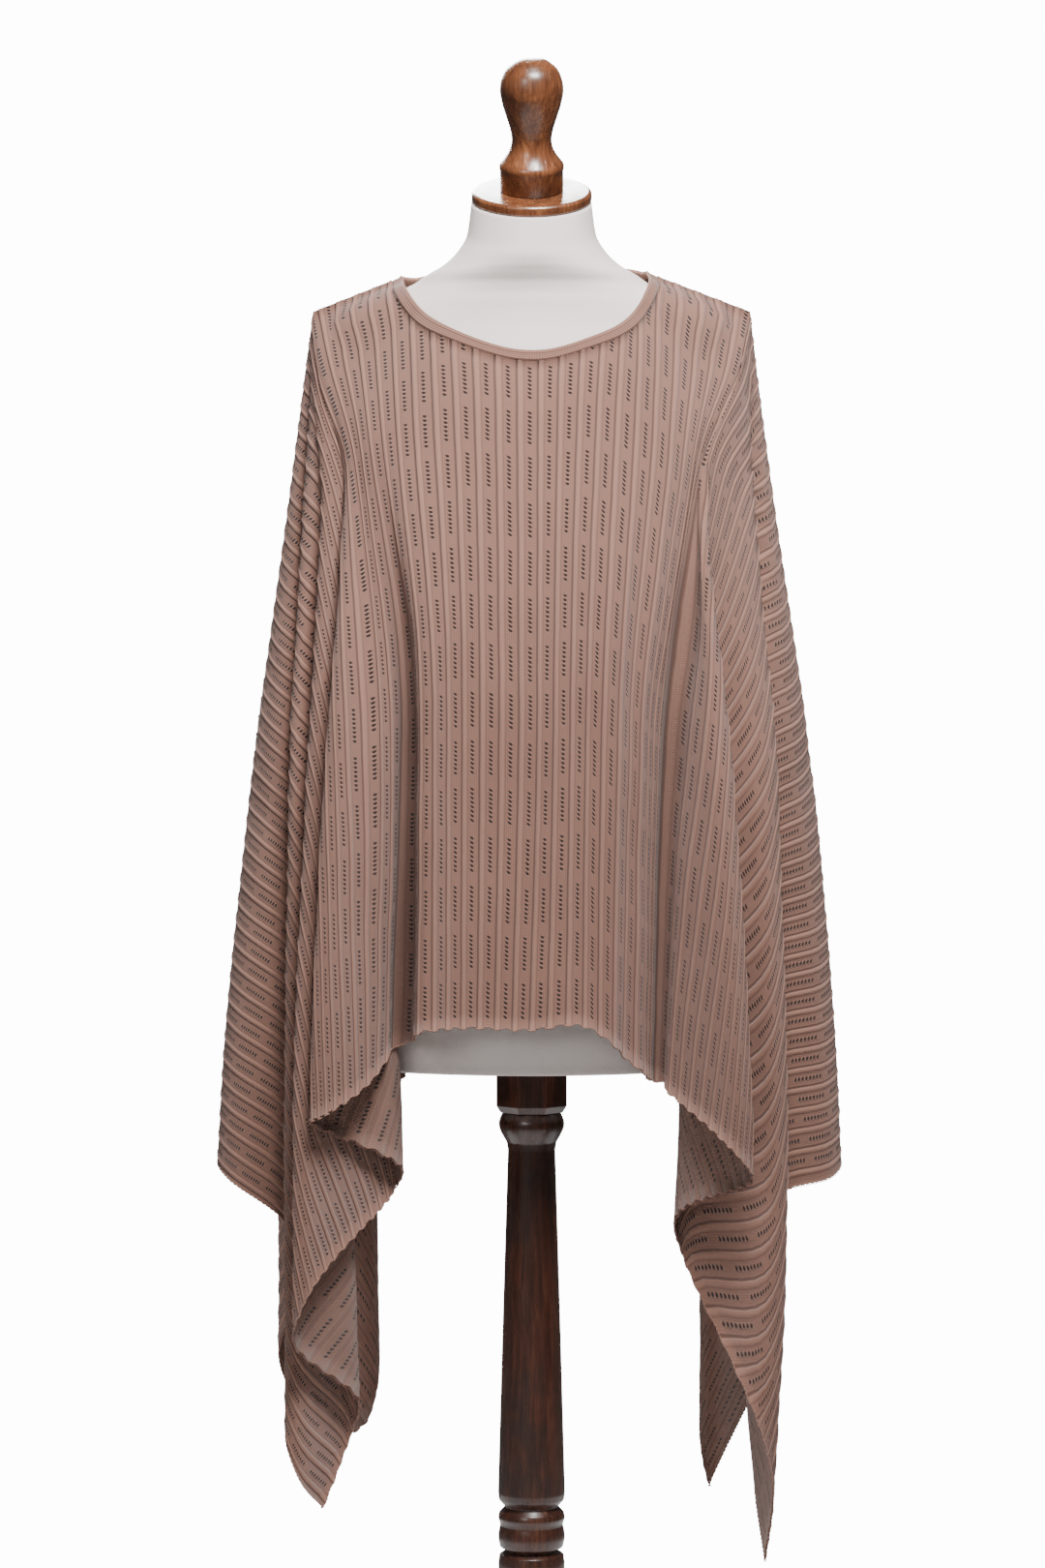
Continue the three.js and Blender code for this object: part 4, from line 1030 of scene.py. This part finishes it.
def stacked(name, rings, mat, soft_sides, soft_ends):
    """A closed solid from rings of points stacked up its height, with a flat face at each end."""
    count, width = rings.shape[:2]
    i, j = np.meshgrid(np.arange(count - 1), np.arange(width), indexing="ij")
    a = i * width + j
    b = i * width + (j + 1) % width
    faces = np.stack([a, b, b + width, a + width], axis=-1).reshape(-1, 4).tolist()
    faces.append(list(range(width))[::-1])
    faces.append([(count - 1) * width + k for k in range(width)])
    mesh = bpy.data.meshes.new(name)
    mesh.from_pydata((rings.reshape(-1, 3) * MM).tolist(), [], faces)
    mesh.materials.append(mat)
    soft = np.full(len(mesh.polygons), soft_sides)
    soft[-2:] = soft_ends
    mesh.polygons.foreach_set("use_smooth", soft)
    return link(name, mesh)


# The dress form.
def dress_form():
    top = FORM_SECTIONS[-1, 0]
    ease = 0.6
    levels = np.concatenate([
        [FORM_BOTTOM, FORM_BOTTOM, FORM_BOTTOM + 0.8, FORM_BOTTOM + 2.4],
        np.linspace(FORM_BOTTOM + 6, 1340, 64),
        np.linspace(1345, top, 46),
    ])
    inset = np.zeros(len(levels))
    inset[:4] = [60, 2.6, 0.9, 0.2]
    turn = np.linspace(0, 2 * math.pi, 161)[:-1]
    rings = []
    for z, cut in zip(levels, inset):
        tilt = math.tan(NECK_TILT) * max(z - TILT_FROM, 0) / (top - TILT_FROM)
        depth = np.where(np.sin(turn) < 0, form_front(z), form_back(z)) - ease - cut
        wave = 0.35 * np.sin(5 * turn + z / 90) * smooth(1405, 1425, np.array(z))
        x = (form_half(z) - ease - cut + wave) * np.cos(turn)
        y = (depth + wave) * np.sin(turn) + form_y(z)
        rings.append(np.stack([x, y, z + y * tilt], axis=-1))
    rings = np.array(rings)
    return stacked("dress_form", rings, LINEN, True, True)


form_obj = dress_form()


# Turned wood: profiles as (radius, height) from the axis round to the axis.
def soften(profile, radius=1.2):
    """Rounds each corner of a profile a little, as a lathe tool and sandpaper do."""
    points = [np.array(p, float) for p in profile]
    out = [points[0]]
    for before, here, after in zip(points, points[1:], points[2:]):
        a, b = before - here, after - here
        la, lb = np.linalg.norm(a), np.linalg.norm(b)
        cos = abs(float(np.dot(a, b) / (la * lb)))
        reach = min(radius, 0.45 * la, 0.45 * lb)
        if cos > 0.995 or here[0] < 0.01:
            out.append(here)
            continue
        p, q = here + a / la * reach, here + b / lb * reach
        for t in (0, 0.25, 0.5, 0.75, 1):
            out.append((1 - t) ** 2 * p + 2 * t * (1 - t) * here + t * t * q)
    out.append(points[-1])
    return out


def bead(radius, bottom, top, bulge, steps=9):
    return [(radius + bulge * math.sin(math.pi * k / steps), bottom + (top - bottom) * k / steps)
            for k in range(steps + 1)]


def flowing(points, steps=36):
    at = np.array([p[1] for p in points], float)
    curve = spline(at, [p[0] for p in points], True)
    return [(float(curve(z)), float(z)) for z in np.linspace(at[0], at[-1], steps)]


FLAT_SIDES = 8


def turned(name, profile, mat, segments=96, tilt=0.0, lift=0.0, phase=0.0):
    """A profile turned round its axis. With no more than the flat sides it keeps its corners."""
    turn = np.linspace(0, 2 * math.pi, segments + 1)[:-1] + phase
    rings = [[(r * math.cos(a), r * math.sin(a), z) for a in turn] for r, z in profile[1:-1]]
    rings = np.array(rings)
    x, y, z = rings[..., 0], rings[..., 1], rings[..., 2]
    c, s = math.cos(tilt), math.sin(tilt)
    rings = np.stack([x, y * c - z * s, y * s + z * c + lift], axis=-1)
    return stacked(name, rings, mat, segments > FLAT_SIDES, False)


FOOT = BASE_HEIGHT + 0.3
base_obj = turned("round_base", soften([
    (0, 0), (BASE_RADIUS - 3, 0), (BASE_RADIUS, 3), (BASE_RADIUS, 16), (BASE_RADIUS - 2, 20),
    (BASE_RADIUS - 6, 24.5), (BASE_RADIUS - 11, 26), (40, 26), (0, 26)], 2.0), DARK_WOOD, 160)
post_obj = turned("turned_post", soften([
    (0, FOOT), (36, FOOT), *bead(36, FOOT + 2, FOOT + 16, 3), (33, FOOT + 18), (30, FOOT + 24),
    (29, 150), (29.3, 268), (28.4, 275), (21.8, 279), *bead(27.8, 282, 301, 1.6), (28.0, 302.5),
    *bead(28.2, 304, 313, 1.2), (23.5, 318), (28.8, 324), (29.6, 330),
    *flowing([(29.5, 334), (26.6, 440), (23.4, 550), (20.9, 634)], 20), (22, 641), (25, 646),
    *bead(26.6, 649, 665, 2.4), (25.6, BLOCK_BOTTOM - 0.3), (0, BLOCK_BOTTOM - 0.3)], 0.9), DARK_WOOD)
CORNER = BLOCK_RADIUS / math.cos(math.pi / FLAT_SIDES)
block_obj = turned("post_head_block", [
    (0, BLOCK_BOTTOM), (CORNER - 4, BLOCK_BOTTOM), (CORNER, BLOCK_BOTTOM + 6),
    (CORNER, FORM_BOTTOM - 0.3), (0, FORM_BOTTOM - 0.3)], DARK_WOOD, FLAT_SIDES, phase=math.pi / FLAT_SIDES)
plate_obj = turned("neck_cap_plate", soften([
    (0, 0), (PLATE_RADIUS - 1.2, 0), (PLATE_RADIUS, 1.2), (PLATE_RADIUS, PLATE_THICK - 2),
    (PLATE_RADIUS - 2, PLATE_THICK), (30, PLATE_THICK), (0, PLATE_THICK)], 1.0),
    LIGHT_WOOD, 128, NECK_TILT, PLATE_Z)
FINIAL_FOOT = PLATE_THICK + 0.3
finial_obj = turned("turned_finial", [(r, FINIAL_FOOT + h) for r, h in [
    (0, 0), (27.0, 0), (27.6, 0.6), (27.6, 18.4), (28.1, 19.6), (28.3, 22), (27.6, 24.4),
    *flowing([(26.2, 26), (22.4, 31), (19, 37), (17.4, 44), (18.6, 54), (22.2, 66), (26, 79),
              (27.6, 89), (26.2, 99), (21, 109), (14.5, 114.4)], 44),
    (10.5, 116.0), (6, 117.0), (2.0, 117.2), (0, 117.2)]], LIGHT_WOOD, 96, NECK_TILT, PLATE_Z)

# What stands for what.
PIECES = [
    (front_obj, "front_panel", "knit"),
    (back_obj, "back_panel", "knit"),
    (band_obj, "neckband", "knit"),
    (form_obj, "form", "linen"),
    (base_obj, "base", "dark_wood"),
    (post_obj, "post", "dark_wood"),
    (block_obj, "post_block", "dark_wood"),
    (plate_obj, "neck_plate", "light_wood"),
    (finial_obj, "finial", "light_wood"),
]
for obj, node, slot in PIECES:
    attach(obj, "root")
    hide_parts(node)
for obj in trims:
    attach(obj, "root")

# Floor, light and camera.
FLOOR = Finish("pale floor", Roughness=0.9, Specular_IOR_Level=0.1)
cloudy = FLOOR.noise(FLOOR.coords(), 0.6, 2)
FLOOR.colour(FLOOR.blend(cloudy, (0.90, 0.90, 0.90, 1), (0.93, 0.93, 0.93, 1)))


FLOOR_RADIUS = 1.15


def round_floor():
    turn = np.linspace(0, 2 * math.pi, 121)[:-1]
    verts = [(FLOOR_RADIUS * math.cos(a), FLOOR_RADIUS * math.sin(a), 0.0) for a in turn]
    mesh = bpy.data.meshes.new("floor")
    mesh.from_pydata(verts, [], [list(range(len(verts)))])
    mesh.materials.append(FLOOR.mat)
    link("floor", mesh)


round_floor()


def soft_light(name, place, aim, size, power, spread):
    """A square soft light, in metres, watts and degrees."""
    light = bpy.data.lights.new(name, "AREA")
    light.shape, light.size, light.energy = "SQUARE", size, power
    light.spread = math.radians(spread)
    obj = link(name, light)
    obj.location = place
    obj.rotation_euler = (Vector(aim) - Vector(place)).to_track_quat("-Z", "Y").to_euler()


soft_light("key", (0.3, -1.35, 2.8), (0, 0, 1.1), 0.7, 31, 90)
soft_light("fill", (-1.6, -3.4, 2.3), (0, 0, 1.1), 1.2, 4, 60)
soft_light("back", (-0.5, 2.6, 2.8), (0, 0, 1.0), 1.4, 55, 90)

world = bpy.data.worlds.new("studio")
bpy.context.scene.world = world
world.use_nodes = True
# The room is white to look at, and dim as a light, so that the folds keep their shade.
ROOM_LIGHT, ROOM_WHITE = 0.09, 14.0
room = world.node_tree
seen = room.nodes.new("ShaderNodeLightPath").outputs["Is Camera Ray"]
strength = room.nodes.new("ShaderNodeMapRange")
strength.inputs["To Min"].default_value = ROOM_LIGHT
strength.inputs["To Max"].default_value = ROOM_WHITE
room.links.new(seen, strength.inputs["Value"])
room.nodes["Background"].inputs[0].default_value = (1, 1, 1, 1)
room.links.new(strength.outputs["Result"], room.nodes["Background"].inputs[1])

EYE, AIM_HEIGHT = (-0.008, -4.0, 1.114), 0.9565
camera = bpy.data.cameras.new("camera")
camera.sensor_fit, camera.sensor_height, camera.sensor_width = "VERTICAL", 36.0, 36.0
camera.lens = 104.6
camera_obj = link("camera", camera)
camera_obj.location = EYE
camera_obj.rotation_euler = (math.pi / 2 - math.atan2(EYE[2] - AIM_HEIGHT, -EYE[1]), 0, 0)
bpy.context.scene.camera = camera_obj
